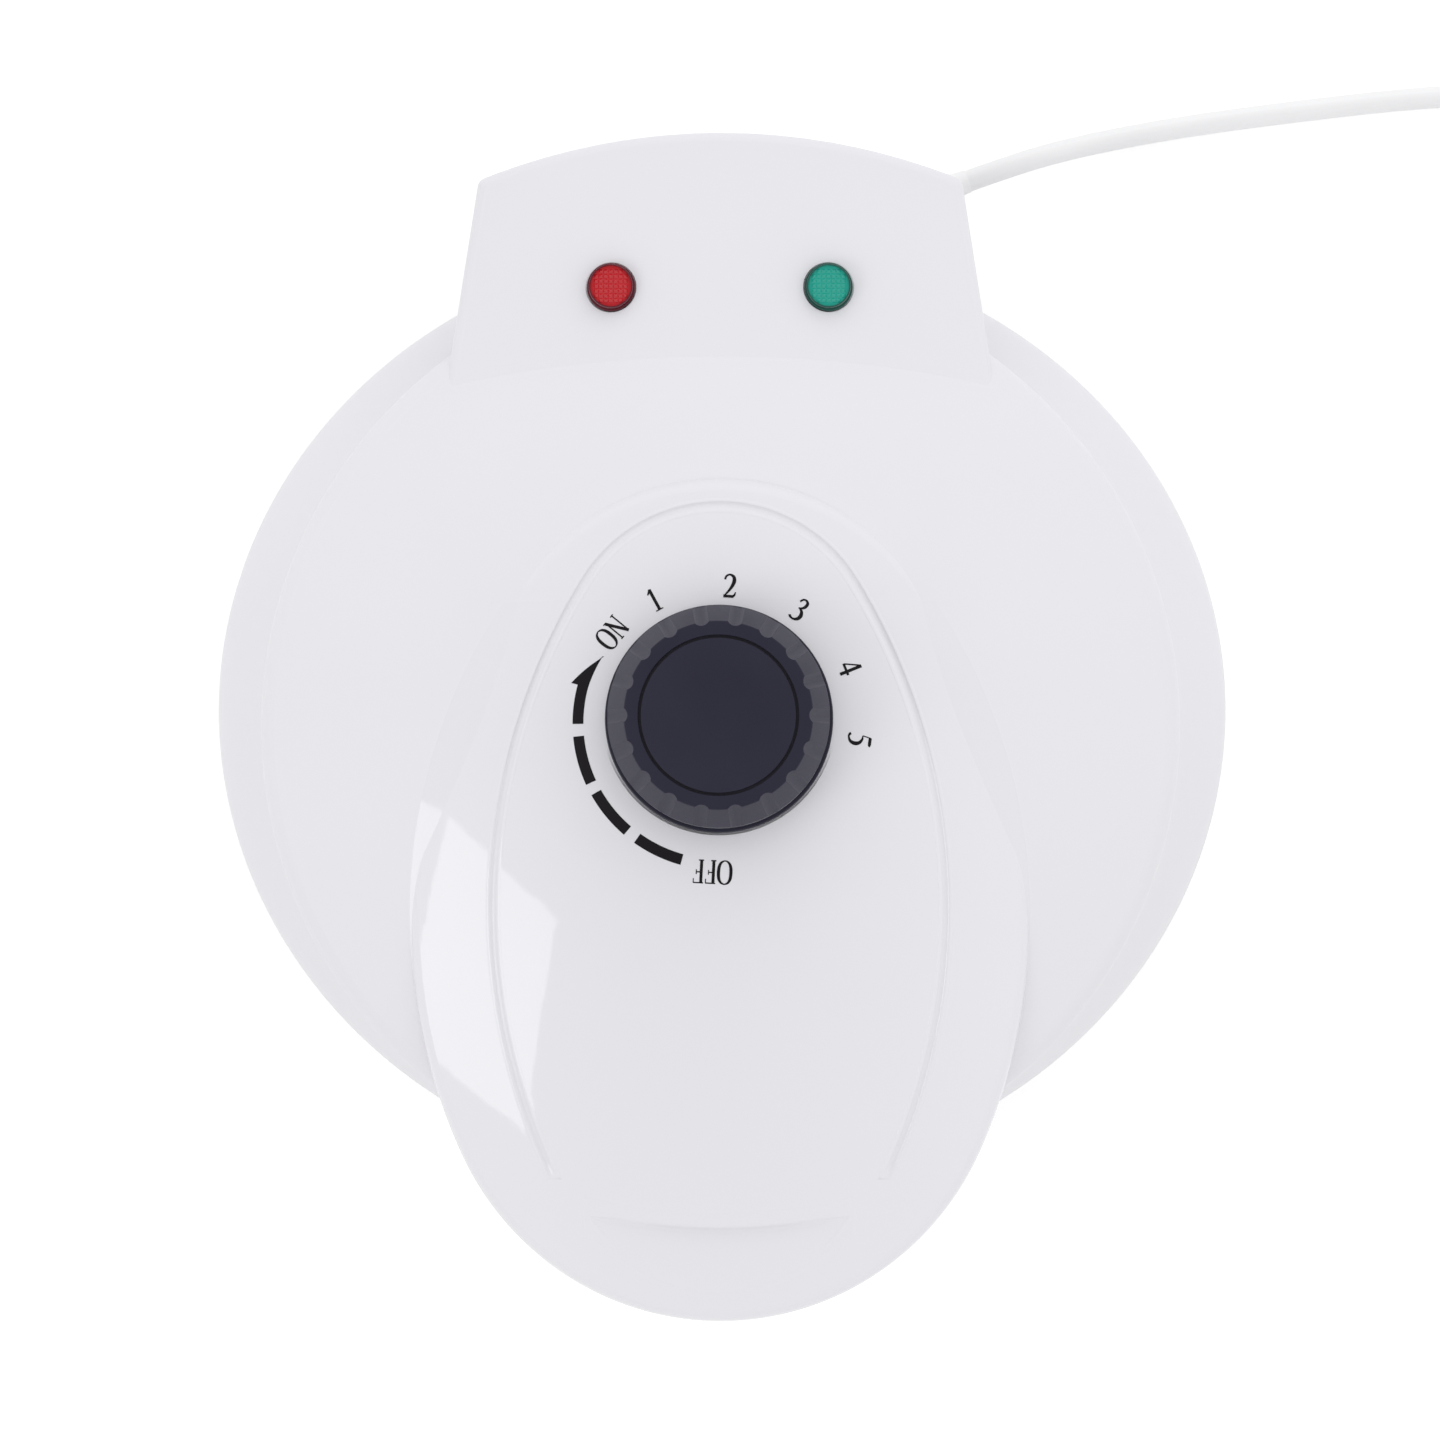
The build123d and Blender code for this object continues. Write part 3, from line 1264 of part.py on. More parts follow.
with BuildPart() as strain_relief:
    with BuildSketch(outlet_plane):
        Circle(relief_root_radius)
    with BuildSketch(outlet_plane.offset(relief_length)):
        Circle(relief_tip_radius)
    loft()
    with BuildSketch(outlet_plane):
        Circle(relief_neck_radius)
    extrude(amount=-moulding_wall)
    with BuildSketch(outlet_plane.offset(-moulding_wall)):
        Circle(relief_flange_radius)
    extrude(amount=-relief_flange_thickness)
finish(strain_relief, "strain_relief")

inner_start = outlet_plane.origin - outlet_direction * (moulding_wall + relief_flange_thickness)
with BuildPart() as inner_cord:
    add(tube([inner_start, inner_start - outlet_direction * inner_cord_first_run,
              Vector(clamp_x, clamp_y + clamp_width, outlet_level),
              Vector(clamp_x, terminal_rear_y, outlet_level)], cord_radius))
finish(inner_cord, "inner_cord")

# Mains cord on the table, from the relief's tip to the coil


def coil_point(turns):
    """A point on the coil, which winds in on the lower layer and out again on the upper one."""
    radius = coil_inner_radius + coil_pitch * abs(turns - coil_layer_turns)
    turned = radians(90 - 360 * turns)
    climb = (turns - coil_layer_turns) / coil_climb_turns + 0.5
    climb = min(max(climb, 0), 1)
    level = coil_level + layer_step * climb**2 * (3 - 2 * climb)
    return Vector(coil_centre.X + radius * cos(turned), coil_centre.Y + radius * sin(turned), level)


def coil_way(turns):
    """The coil's direction at a point."""
    step = 0.001
    return (coil_point(turns + step) - coil_point(turns - step)).normalized()


def biarc(start, start_way, end, end_way):
    """Two arcs that leave and arrive in given directions and join smoothly between."""
    across = end - start
    ways = start_way + end_way
    lead = 2 * across.dot(ways)
    square = across.dot(across)
    reach = 2 * square / (lead + sqrt(lead**2 + 4 * (4 - ways.dot(ways)) * square))
    first_corner = start + start_way * reach
    second_corner = end - end_way * reach
    middle = (first_corner + second_corner) / 2
    TangentArc(start, middle, tangent=start_way)
    TangentArc(middle, end, tangent=second_corner - first_corner)
    return reach


coil_inner_radius = coil_outer_radius - coil_pitch * coil_layer_turns
coil_start = coil_point(0)
coil_lead_in = coil_start - Vector(2 * cord_radius, 0, 0)
relief_tip = outlet_plane.origin + outlet_direction * relief_length
cord_points = [
    relief_tip,
    relief_tip + outlet_direction * 15,
    Vector(92.5, 146.6, 4.4),
    Vector(115, 151, 2.8),
    Vector(142, 154.6, 2.8),
    Vector(172, 158, 2.8),
    Vector(198, coil_start.Y, coil_level),
    coil_lead_in,
]
print("mains cord bend radii:", ", ".join(f"{radius:.0f}" for radius in bend_radii(cord_points)))
with BuildPart() as mains_cord:
    add(tube(cord_points, cord_radius))
finish(mains_cord, "mains_cord")

plug_level = plug_radius + 2 * running_clearance
plug_entry = Vector(plug_x, plug_y, plug_level)
quarters = int(coil_end_turns * 4)
with BuildPart() as cord_coil:
    with BuildLine() as coil_path:
        Line(coil_lead_in, coil_start)
        way = Vector(1, 0, 0)
        for quarter in range(quarters):
            arrival = coil_way((quarter + 1) / 4) if quarter + 1 < quarters else Vector(0, -1, 0)
            biarc(coil_point(quarter / 4), way, coil_point((quarter + 1) / 4), arrival)
            way = arrival
        plug_lead_in = plug_entry + Vector(0, 2 * cord_radius, 0)
        tail_reach = biarc(coil_point(coil_end_turns), way, plug_lead_in, Vector(0, -1, 0))
        Line(plug_lead_in, plug_entry)
    with BuildSketch(Plane(origin=coil_lead_in, z_dir=(1, 0, 0))):
        Circle(cord_radius)
    sweep()
finish(cord_coil, "cord_coil")

coil_wire = coil_path.wire()
coil_length = coil_wire.length
samples = [coil_wire @ (step / 500) for step in range(501)]
nearest = min((first - second).length
              for place, first in enumerate(samples)
              for second in samples[place + ceil(8 * cord_radius * 500 / coil_length):])
print(f"coil least radius {coil_inner_radius:.1f}, least gap to itself {nearest - 2 * cord_radius:.2f}")
print(f"coil volume over section times length {cord_coil.part.volume / (pi * cord_radius**2 * coil_length):.4f}")
print(f"cord length {(mains_cord.part.volume / (pi * cord_radius**2) + coil_length):.0f}")

with BuildPart() as cord_tie:
    tie_right = coil_point(coil_layer_turns - 0.25).X + cord_radius + tie_clearance
    tie_left = coil_point(coil_layer_turns + 1.75).X - cord_radius - tie_clearance
    tie_bottom = coil_level - cord_radius - running_clearance
    tie_top = coil_level + layer_step + cord_radius + tie_clearance
    with BuildSketch(Plane.XZ.offset(-coil_centre.Y - tie_width / 2)):
        with Locations(((tie_left + tie_right) / 2, (tie_bottom + tie_top) / 2)):
            RectangleRounded(tie_right - tie_left + 2 * tie_thickness, tie_top - tie_bottom + 2 * tie_thickness,
                             cord_radius + tie_thickness)
            RectangleRounded(tie_right - tie_left, tie_top - tie_bottom, cord_radius, mode=Mode.SUBTRACT)
    extrude(amount=tie_width)
finish(cord_tie, "cord_tie")

# Plug, lying beside the coil with its pins towards the handle's side

plug_grip_y = plug_y - plug_sleeve_length
plug_disc_y = plug_grip_y - plug_grip_length
plug_face_y = plug_disc_y - plug_disc_length
with BuildPart() as plug_body:
    with BuildSketch(Plane.XY.offset(plug_level)) as plug_profile:
        with BuildLine():
            Polyline((plug_x, plug_y), (plug_x + plug_sleeve_radius, plug_y),
                     (plug_x + plug_sleeve_radius, plug_grip_y), (plug_x + plug_grip_radius, plug_disc_y),
                     (plug_x + plug_radius, plug_disc_y - plug_disc_length / 3),
                     (plug_x + plug_radius, plug_face_y), (plug_x, plug_face_y), close=True)
        make_face()
        fillet(plug_profile.vertices().group_by(Axis.X)[-1], plug_disc_length / 6)
    revolve(axis=Axis((plug_x, 0, plug_level), (0, 1, 0)))
    with BuildSketch(Plane.XY):
        with Locations((plug_x, plug_face_y)):
            Rectangle(2 * plug_flat_half_width, plug_y - plug_face_y, align=(Align.CENTER, Align.MIN))
    extrude(amount=2 * plug_level, mode=Mode.INTERSECT)
finish(plug_body, "plug_body")

with BuildPart() as plug_pins:
    with BuildSketch(Plane.XZ.offset(-plug_face_y)):
        with Locations((plug_x - plug_pin_spacing / 2, plug_level), (plug_x + plug_pin_spacing / 2, plug_level)):
            Circle(plug_pin_radius)
    extrude(amount=plug_pin_length)
    fillet(plug_pins.edges().group_by(Axis.Y)[0], plug_pin_radius / 2)
finish(plug_pins, "plug_pins")
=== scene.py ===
import json
from math import asin, atan2, cos, pi, radians, sin, sqrt, tan

import bmesh
import bpy
from mathutils import Matrix, Quaternion, Vector


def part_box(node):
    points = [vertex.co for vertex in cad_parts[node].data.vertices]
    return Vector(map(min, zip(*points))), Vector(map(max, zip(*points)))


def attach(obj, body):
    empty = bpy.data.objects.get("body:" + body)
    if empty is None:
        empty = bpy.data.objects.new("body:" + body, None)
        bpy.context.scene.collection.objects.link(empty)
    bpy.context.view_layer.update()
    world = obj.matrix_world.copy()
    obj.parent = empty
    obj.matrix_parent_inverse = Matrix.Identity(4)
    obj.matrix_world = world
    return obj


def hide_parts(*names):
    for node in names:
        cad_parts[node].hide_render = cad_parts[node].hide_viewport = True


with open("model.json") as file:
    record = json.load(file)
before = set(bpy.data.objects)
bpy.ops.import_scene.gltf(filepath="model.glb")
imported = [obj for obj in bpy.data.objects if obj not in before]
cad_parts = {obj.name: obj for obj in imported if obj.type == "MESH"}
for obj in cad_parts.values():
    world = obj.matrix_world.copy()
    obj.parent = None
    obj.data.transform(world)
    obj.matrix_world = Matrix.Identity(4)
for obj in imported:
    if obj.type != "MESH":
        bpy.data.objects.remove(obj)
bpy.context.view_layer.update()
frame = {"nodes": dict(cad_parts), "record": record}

bl_info = {
    "name": "Heart waffle maker",
    "version": (1, 0, 0),
    "blender": (4, 5, 0),
    "location": "View3D > Sidebar > Waffle maker",
    "description": "Dresses the packed heart waffle maker with its looks",
    "category": "Add Mesh",
}

MM = 0.001


# Sizes and colours


def length(name, description, default):
    """A length property, given in millimetres."""
    return bpy.props.FloatProperty(name=name, description=description, default=default * MM,
                                   precision=5, unit="LENGTH")


def angle(name, description, default):
    """An angle property, given in degrees."""
    return bpy.props.FloatProperty(name=name, description=description, default=radians(default),
                                   subtype="ANGLE")


def colour(name, description, default):
    """A colour property."""
    return bpy.props.FloatVectorProperty(name=name, description=description, default=default,
                                         subtype="COLOR", size=3, min=0.0, max=1.0)


class WaffleFinishes(bpy.types.PropertyGroup):
    """Colours of the waffle maker's materials."""
    shell: colour("Shell", "Glossy white moulding", (0.79, 0.785, 0.82))
    cover: colour("Cover", "Satin white underside", (0.72, 0.72, 0.75))
    cord: colour("Cord", "White flexible sheath", (0.88, 0.88, 0.89))
    knob: colour("Knob", "Dark satin moulding", (0.0140, 0.0130, 0.0330))
    red: colour("Red lens", "Heating light", (0.58, 0.016, 0.024))
    green: colour("Green lens", "Ready light", (0.018, 0.41, 0.32))
    # The two rim colours are darker copies of the lens colours: painted shade for the dark ring round each
    # lens.
    red_rim_shade: colour("Red rim", "Flange of the red lens", (0.110, 0.012, 0.022))
    green_rim_shade: colour("Green rim", "Flange of the green lens", (0.018, 0.085, 0.068))
    print_ink: colour("Dial print", "Ink of the dial's figures", (0.007, 0.005, 0.008))
    coating: colour("Coating", "Non-stick coating of the plates", (0.032, 0.032, 0.035))
    rubber: colour("Feet", "Rubber of the feet", (0.020, 0.020, 0.022))


class WaffleKnobSizes(bpy.types.PropertyGroup):
    """Sizes of the knob."""
    flutes: bpy.props.IntProperty(name="Flutes", description="Scooped finger flutes round the knob",
                                  default=18, min=3)
    flute_radius: length("Flute radius", "Radius of a flute's round end", 2.3)
    flute_centre: length("Flute centre", "Distance of a flute's middle from the axis at the top", 23.1)
    flute_tilt: angle("Flute tilt", "Lean of a flute outwards towards its foot", 33.0)
    edge: length("Edge", "Rounding of the knob's edges", 0.3)
    groove: length("Groove", "Width of the groove round the cap", 0.75)


class WaffleLampSizes(bpy.types.PropertyGroup):
    """Sizes of the indicator lenses."""
    prism_pitch: length("Prism pitch", "Distance of the prisms in a lens", 1.15)
    prism_depth: length("Prism depth", "Depth of a prism", 0.42)
    face_radius: length("Face radius", "Radius of the prism face", 4.8)
    face_depth: length("Face depth", "Depth of the prisms' edges under the rim's top", 0.15)


class WaffleDialSizes(bpy.types.PropertyGroup):
    """Sizes of the print round the knob."""
    letter_height: length("Letter height", "Height of the figures", 5.35)
    ink_thickness: length("Ink thickness", "Height of the ink over the moulding", 0.05)
    arrow_radius: length("Arrow radius", "Middle radius of the arrow's band", 32.5)
    arrow_width: length("Arrow width", "Width of the arrow's band", 2.5)


class WaffleLidSizes(bpy.types.PropertyGroup):
    """Sizes of the lines on the lid."""
    line_depth: length("Line depth", "Depth of the pressed line", 0.6)
    rest_depth: length("Rest depth", "Depth of the thumb rest at its rear", 1.6)


class WaffleCordSizes(bpy.types.PropertyGroup):
    """Sizes of the mains cord."""
    diameter: length("Diameter", "Diameter of the sheath", 5.4)
    total: length("Length", "Length from the strain relief to the plug", 1032.0)
    rings: bpy.props.IntProperty(name="Relief rings", description="Ribs on the strain relief", default=7,
                                 min=2)


class WaffleStageSizes(bpy.types.PropertyGroup):
    """Camera, lights and floor."""
    camera_distance: length("Camera distance", "From the lid to the camera", 1000.0)
    camera_tilt: angle("Camera tilt", "Lean of the view towards the handle", 2.6)
    camera_side: angle("Camera side", "Lean of the view towards the right", 0.5)
    focal: bpy.props.FloatProperty(name="Focal length", description="Of the lens, in millimetres",
                                   default=106.977)
    softbox_power: bpy.props.FloatProperty(name="Softbox", description="Power of the left softbox",
                                           default=1.85, unit="POWER")
    fill_power: bpy.props.FloatProperty(name="Fill", description="Power of the fill light at the rear",
                                        default=1.6, unit="POWER")
    sky: bpy.props.FloatProperty(name="Sky", description="Strength of the light from all round",
                                 default=0.94)
    floor_radius: length("Floor", "Radius of the floor", 6000.0)


# Meshes


def mesh_from(name, vertices, faces, material=None, sharp=35.0):
    """A mesh from points in millimetres, smooth but for its sharp edges."""
    mesh = bpy.data.meshes.new(name)
    mesh.from_pydata([Vector(point) * MM for point in vertices], [], faces)
    return dress(mesh, material, sharp)


def dress(mesh, material=None, sharp=35.0):
    """Gives a mesh its material and smooth shading with sharp edges."""
    if material:
        mesh.materials.clear()
        mesh.materials.append(material)
    mesh.shade_smooth()
    mesh.set_sharp_from_angle(angle=radians(sharp))
    return mesh


def piece(name, mesh, body, slot, *nodes):
    """A piece of the object that rides on a body and stands for CAD nodes."""
    made = bpy.data.objects.new(name, mesh)
    bpy.context.scene.collection.objects.link(made)
    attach(made, body)
    if nodes:
        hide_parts(*nodes)
    return made


def lathe(profile, count):
    """Points and faces of a closed profile of (radius, level) turned about Z, outwards on its left."""
    points = []
    rings = []
    for radius, level in profile:
        if radius == 0:
            rings.append([len(points)] * count)
            points.append((0, 0, level))
        else:
            rings.append(list(range(len(points), len(points) + count)))
            points.extend((radius * cos(2 * pi * step / count), radius * sin(2 * pi * step / count), level)
                          for step in range(count))
    faces = []
    for low, high in zip(rings, rings[1:] + rings[:1]):
        for step in range(count):
            after = (step + 1) % count
            corners = [low[step], low[after], high[after], high[step]]
            face = [corner for place, corner in enumerate(corners) if corner != corners[place - 1]]
            if len(face) > 2:
                faces.append(face)
    return points, faces


def rounded(profile, radius, steps=4):
    """A closed profile with each marked corner (radius, level, True) rounded."""
    result = []
    for place, corner in enumerate(profile):
        point = Vector(corner[:2])
        if len(corner) < 3:
            result.append(tuple(point))
            continue
        before = (Vector(profile[place - 1][:2]) - point).normalized()
        after = (Vector(profile[(place + 1) % len(profile)][:2]) - point).normalized()
        half = before.angle(after) / 2
        reach = radius / tan(half)
        centre = point + (before + after).normalized() * (radius / sin(half))
        first = point + before * reach - centre
        last = point + after * reach - centre
        for step in range(steps + 1):
            result.append(tuple(centre + first.slerp(last, step / steps).normalized() * radius))
    return result


def place(points, matrix):
    """Points moved by a matrix."""
    return [matrix @ Vector(point) for point in points]


# Node trees


def put(tree, kind, values=None, **settings):
    """A node with its settings and with its inputs set or linked."""
    made = tree.nodes.new(kind)
    for key, value in settings.items():
        setattr(made, key, value)
    for key, value in (values or {}).items():
        if isinstance(value, bpy.types.NodeSocket):
            tree.links.new(value, made.inputs[key])
        else:
            made.inputs[key].default_value = value
    return made


def maths(tree, operation, *values, clamp=False):
    """The result of a sum on numbers or sockets."""
    return put(tree, "ShaderNodeMath", dict(enumerate(values)), operation=operation,
               use_clamp=clamp).outputs[0]


def noise(tree, where, scale, detail):
    """A noise texture's level at a place."""
    return put(tree, "ShaderNodeTexNoise", {"Vector": where, "Scale": scale, "Detail": detail}).outputs["Fac"]


def seen_rays(tree):
    """One for a ray that the camera follows, straight, mirrored or through a lens, and else zero."""
    path = put(tree, "ShaderNodeLightPath").outputs
    seen = maths(tree, "MAXIMUM", path["Is Camera Ray"], path["Is Glossy Ray"])
    return maths(tree, "MAXIMUM", seen, path["Is Transmission Ray"])


def new_tree(name, kind, inputs, outputs):
    """A node tree with named sockets, given as (name, type, default)."""
    tree = bpy.data.node_groups.new(name, kind)
    for label, socket_type, *value in inputs:
        socket = tree.interface.new_socket(label, in_out="INPUT", socket_type="NodeSocket" + socket_type)
        if value:
            socket.default_value = value[0]
    for label, socket_type in outputs:
        tree.interface.new_socket(label, in_out="OUTPUT", socket_type="NodeSocket" + socket_type)
    return tree, tree.nodes.new("NodeGroupInput").outputs, tree.nodes.new("NodeGroupOutput").inputs


def grow(name, tree, source, values):
    """The plain mesh that a geometry tree makes from a source mesh."""
    carrier = bpy.data.objects.new(name, source)
    bpy.context.scene.collection.objects.link(carrier)
    modifier = carrier.modifiers.new(name, "NODES")
    modifier.node_group = tree
    for item in tree.interface.items_tree:
        if item.in_out == "INPUT" and item.name in values:
            modifier[item.identifier] = values[item.name]
    graph = bpy.context.evaluated_depsgraph_get()
    mesh = bpy.data.meshes.new_from_object(carrier.evaluated_get(graph), depsgraph=graph)
    carrier.modifiers.remove(modifier)
    bpy.data.objects.remove(carrier)
    mesh.name = name
    return mesh


def moulded_surface():
    """Group for moulded plastic: slight mottling, soft waviness and fine grain."""
    name = "Moulded surface"
    if name in bpy.data.node_groups:
        return bpy.data.node_groups[name]
    tree, given, result = new_tree(
        name, "ShaderNodeTree",
        [("Colour", "Color", (0.8, 0.8, 0.8, 1)), ("Mottling", "Float", 0.03),
         ("Roughness", "Float", 0.3), ("Roughness spread", "Float", 0.05),
         ("Waviness", "Float", 0.02), ("Wave size", "Float", 60.0),
         ("Grain", "Float", 0.05), ("Grain size", "Float", 2500.0)],
        [("Colour", "Color"), ("Roughness", "Float"), ("Normal", "Vector")])
    where = put(tree, "ShaderNodeTexCoord").outputs["Object"]
    broad = noise(tree, where, given["Wave size"], 2.0)
    fine = noise(tree, where, given["Grain size"], 3.0)
    centred = maths(tree, "SUBTRACT", broad, 0.5)
    shade = maths(tree, "MULTIPLY_ADD", centred, given["Mottling"], 1.0)
    tint = put(tree, "ShaderNodeVectorMath", {0: given["Colour"], "Scale": shade}, operation="SCALE")
    tree.links.new(tint.outputs[0], result["Colour"])
    rough = maths(tree, "MULTIPLY_ADD", centred, given["Roughness spread"], given["Roughness"], clamp=True)
    tree.links.new(rough, result["Roughness"])
    wave = put(tree, "ShaderNodeBump", {"Strength": given["Waviness"], "Distance": 0.002, "Height": broad})
    grain = put(tree, "ShaderNodeBump", {"Strength": given["Grain"], "Distance": 0.0001, "Height": fine,
                                         "Normal": wave.outputs[0]})
    tree.links.new(grain.outputs[0], result["Normal"])
    return tree


def polished_egg():
    """Group for the shell: polished inside the egg, which two arcs bound, and plainer elsewhere."""
    name = "Polished egg"
    if name in bpy.data.node_groups:
        return bpy.data.node_groups[name]
    tree, given, result = new_tree(
        name, "ShaderNodeTree",
        [("Side radius", "Float", 0.1323), ("Side centre", "Float", 0.0605), ("Widest at", "Float", -0.0458),
         ("Polished", "Float", 0.04), ("Plain", "Float", 0.34), ("Spread", "Float", 0.03),
         ("Polished mirror", "Float", 0.5), ("Plain mirror", "Float", 0.08)],
        [("Roughness", "Float"), ("Mirror", "Float")])
    where = put(tree, "ShaderNodeTexCoord").outputs["Object"]
    axes = put(tree, "ShaderNodeSeparateXYZ", {0: where}).outputs
    aside = maths(tree, "ADD", maths(tree, "ABSOLUTE", axes["X"]), given["Side centre"])
    along = maths(tree, "SUBTRACT", axes["Y"], given["Widest at"])
    flat = put(tree, "ShaderNodeCombineXYZ", {0: aside, 1: along}).outputs[0]
    away = put(tree, "ShaderNodeVectorMath", {0: flat}, operation="LENGTH").outputs["Value"]
    rear = put(tree, "ShaderNodeMapRange", {
        "Value": axes["Y"], "From Min": 0.0, "From Max": 0.035}).outputs[0]
    plain = maths(tree, "MAXIMUM", maths(tree, "GREATER_THAN", away, given["Side radius"]), rear)
    level = put(tree, "ShaderNodeMix", {0: plain, 2: given["Polished"], 3: given["Plain"]}).outputs[0]
    centred = maths(tree, "SUBTRACT", noise(tree, where, 35.0, 3.0), 0.5)
    rough = maths(tree, "MULTIPLY_ADD", centred, given["Spread"], level, clamp=True)
    tree.links.new(rough, result["Roughness"])
    mirror = put(tree, "ShaderNodeMix", {0: plain, 2: given["Polished mirror"], 3: given["Plain mirror"]})
    tree.links.new(mirror.outputs[0], result["Mirror"])
    return tree


def worked_metal():
    """Group for metal: drawn streaks that vary its tone and roughness."""
    name = "Worked metal"
    if name in bpy.data.node_groups:
        return bpy.data.node_groups[name]
    tree, given, result = new_tree(
        name, "ShaderNodeTree",
        [("Colour", "Color", (0.6, 0.6, 0.6, 1)), ("Roughness", "Float", 0.35),
         ("Streaks", "Float", 0.15), ("Stretch", "Vector", (1.0, 1.0, 12.0)),
         ("Staining", "Float", 0.1), ("Dents", "Float", 0.1)],
        [("Colour", "Color"), ("Roughness", "Float"), ("Normal", "Vector")])
    where = put(tree, "ShaderNodeTexCoord").outputs["Object"]
    drawn = put(tree, "ShaderNodeMapping", {"Vector": where, "Scale": given["Stretch"]}).outputs[0]
    streak = noise(tree, drawn, 300.0, 4.0)
    stain = maths(tree, "SUBTRACT", noise(tree, where, 45.0, 5.0), 0.5)
    shade = maths(tree, "MULTIPLY_ADD", stain, given["Staining"], 1.0)
    tint = put(tree, "ShaderNodeVectorMath", {0: given["Colour"], "Scale": shade}, operation="SCALE")
    tree.links.new(tint.outputs[0], result["Colour"])
    centred = maths(tree, "SUBTRACT", streak, 0.5)
    rough = maths(tree, "MULTIPLY_ADD", centred, given["Streaks"], given["Roughness"], clamp=True)
    tree.links.new(rough, result["Roughness"])
    bump = put(tree, "ShaderNodeBump", {"Strength": given["Dents"], "Distance": 0.0002, "Height": streak})
    tree.links.new(bump.outputs[0], result["Normal"])
    return tree


# Materials


def material_with(name, group, values, shader_values):
    """A material whose shader takes colour, roughness and normal from an effect group."""
    if name in bpy.data.materials:
        return bpy.data.materials[name]
    made = bpy.data.materials.new(name)
    made.use_nodes = True
    tree = made.node_tree
    tree.nodes.clear()
    effect = put(tree, "ShaderNodeGroup", node_tree=group)
    for key, value in values.items():
        effect.inputs[key].default_value = value
    shader = put(tree, "ShaderNodeBsdfPrincipled", shader_values | {
        "Base Color": effect.outputs["Colour"],
        "Roughness": effect.outputs["Roughness"],
        "Normal": effect.outputs["Normal"],
    })
    put(tree, "ShaderNodeOutputMaterial", {"Surface": shader.outputs[0]})
    return made


def shell_material():
    """Glossy white moulding, most polished on the egg."""
    if "shell_finish" in bpy.data.materials:
        return bpy.data.materials["shell_finish"]
    values = {"Colour": (*bpy.context.scene.waffle_finishes.shell, 1), "Mottling": 0.015, "Waviness": 0.012,
              "Wave size": 28.0, "Grain": 0.012, "Grain size": 1400.0}
    made = material_with("shell_finish", moulded_surface(), values, {"Specular IOR Level": 0.5})
    tree = made.node_tree
    shader = next(node for node in tree.nodes if node.type == "BSDF_PRINCIPLED")
    gloss = put(tree, "ShaderNodeGroup", node_tree=polished_egg()).outputs
    tree.links.new(gloss["Roughness"], shader.inputs["Roughness"])
    tree.links.new(gloss["Mirror"], shader.inputs["Specular IOR Level"])
    return made


def finish_for(slot):
    """The material of a record slot."""
    looks = bpy.context.scene.waffle_finishes
    # colour, mottling, roughness and its spread, waves and their size, grain and its size, mirror level
    plastics = {
        "cover_plastic": (looks.cover, 0.04, 0.42, 0.08, 0.010, 40.0, 0.25, 3000.0, 0.5),
        "cord_plastic": (looks.cord, 0.03, 0.38, 0.08, 0.015, 60.0, 0.15, 2500.0, 0.5),
        "clamp_plastic": ((0.02, 0.02, 0.022), 0.05, 0.45, 0.1, 0.010, 60.0, 0.2, 2500.0, 0.5),
        "foot_rubber": (looks.rubber, 0.12, 0.72, 0.1, 0.020, 80.0, 0.4, 1800.0, 0.3),
        "knob_plastic": (looks.knob, 0.15, 0.33, 0.10, 0.006, 60.0, 0.18, 4000.0, 0.5),
        "knob_cap": (looks.knob, 0.25, 0.38, 0.12, 0.006, 50.0, 0.22, 4000.0, 0.45),
        "dial_ink": (looks.print_ink, 0.10, 0.5, 0.1, 0.0, 60.0, 0.05, 2500.0, 0.2),
        "terminal_ceramic": ((0.78, 0.76, 0.70), 0.06, 0.55, 0.1, 0.02, 70.0, 0.3, 2200.0, 0.4),
        "thermostat_ceramic": ((0.80, 0.78, 0.72), 0.06, 0.5, 0.1, 0.02, 70.0, 0.3, 2200.0, 0.4),
        "lead_insulation": ((0.74, 0.73, 0.69), 0.08, 0.62, 0.1, 0.01, 90.0, 0.6, 1600.0, 0.3),
        "plate_coating": (looks.coating, 0.20, 0.42, 0.14, 0.010, 40.0, 0.55, 2600.0, 0.5),
    }
    # colour, roughness, streaks, stretch of the streaks, staining, dents
    metals = {
        "steel_screws": ((0.55, 0.56, 0.58), 0.30, 0.2, (1, 1, 1), 0.12, 0.1),
        "heater_steel": ((0.23, 0.22, 0.21), 0.48, 0.2, (1, 1, 1), 0.35, 0.2),
        "reflector_sheet": ((0.74, 0.75, 0.76), 0.30, 0.25, (0.2, 6, 1), 0.10, 0.08),
        "hinge_steel": ((0.60, 0.61, 0.62), 0.26, 0.2, (0.2, 6, 6), 0.08, 0.08),
        "plug_pins": ((0.72, 0.69, 0.62), 0.22, 0.12, (6, 0.2, 6), 0.06, 0.05),
        "thermostat_steel": ((0.58, 0.58, 0.58), 0.34, 0.2, (0.2, 6, 1), 0.10, 0.08),
    }
    if slot == "shell_plastic":
        return shell_material()
    if slot in plastics:
        base, *levels, mirror = plastics[slot]
        values = {"Colour": (*base, 1)} | dict(zip(("Mottling", "Roughness", "Roughness spread", "Waviness",
                                                    "Wave size", "Grain", "Grain size"), levels))
        return material_with(slot + "_finish", moulded_surface(), values, {"Specular IOR Level": mirror})
    if slot in metals:
        base, *levels = metals[slot]
        values = {"Colour": (*base, 1)} | dict(zip(
            ("Roughness", "Streaks", "Stretch", "Staining", "Dents"), levels))
        return material_with(slot + "_finish", worked_metal(), values, {"Metallic": 1.0})
    lenses = {"red_lens": (looks.red, 0.12), "green_lens": (looks.green, 0.12),
              "neon_glass": ((0.9, 0.8, 0.7), 0.9)}
    base, clearness = lenses[slot]
    values = {"Colour": (*base, 1), "Mottling": 0.05, "Roughness": 0.08, "Roughness spread": 0.04,
              "Waviness": 0.0, "Grain": 0.0}
    return material_with(slot + "_finish", moulded_surface(), values,
                         {"Transmission Weight": clearness, "IOR": 1.49})


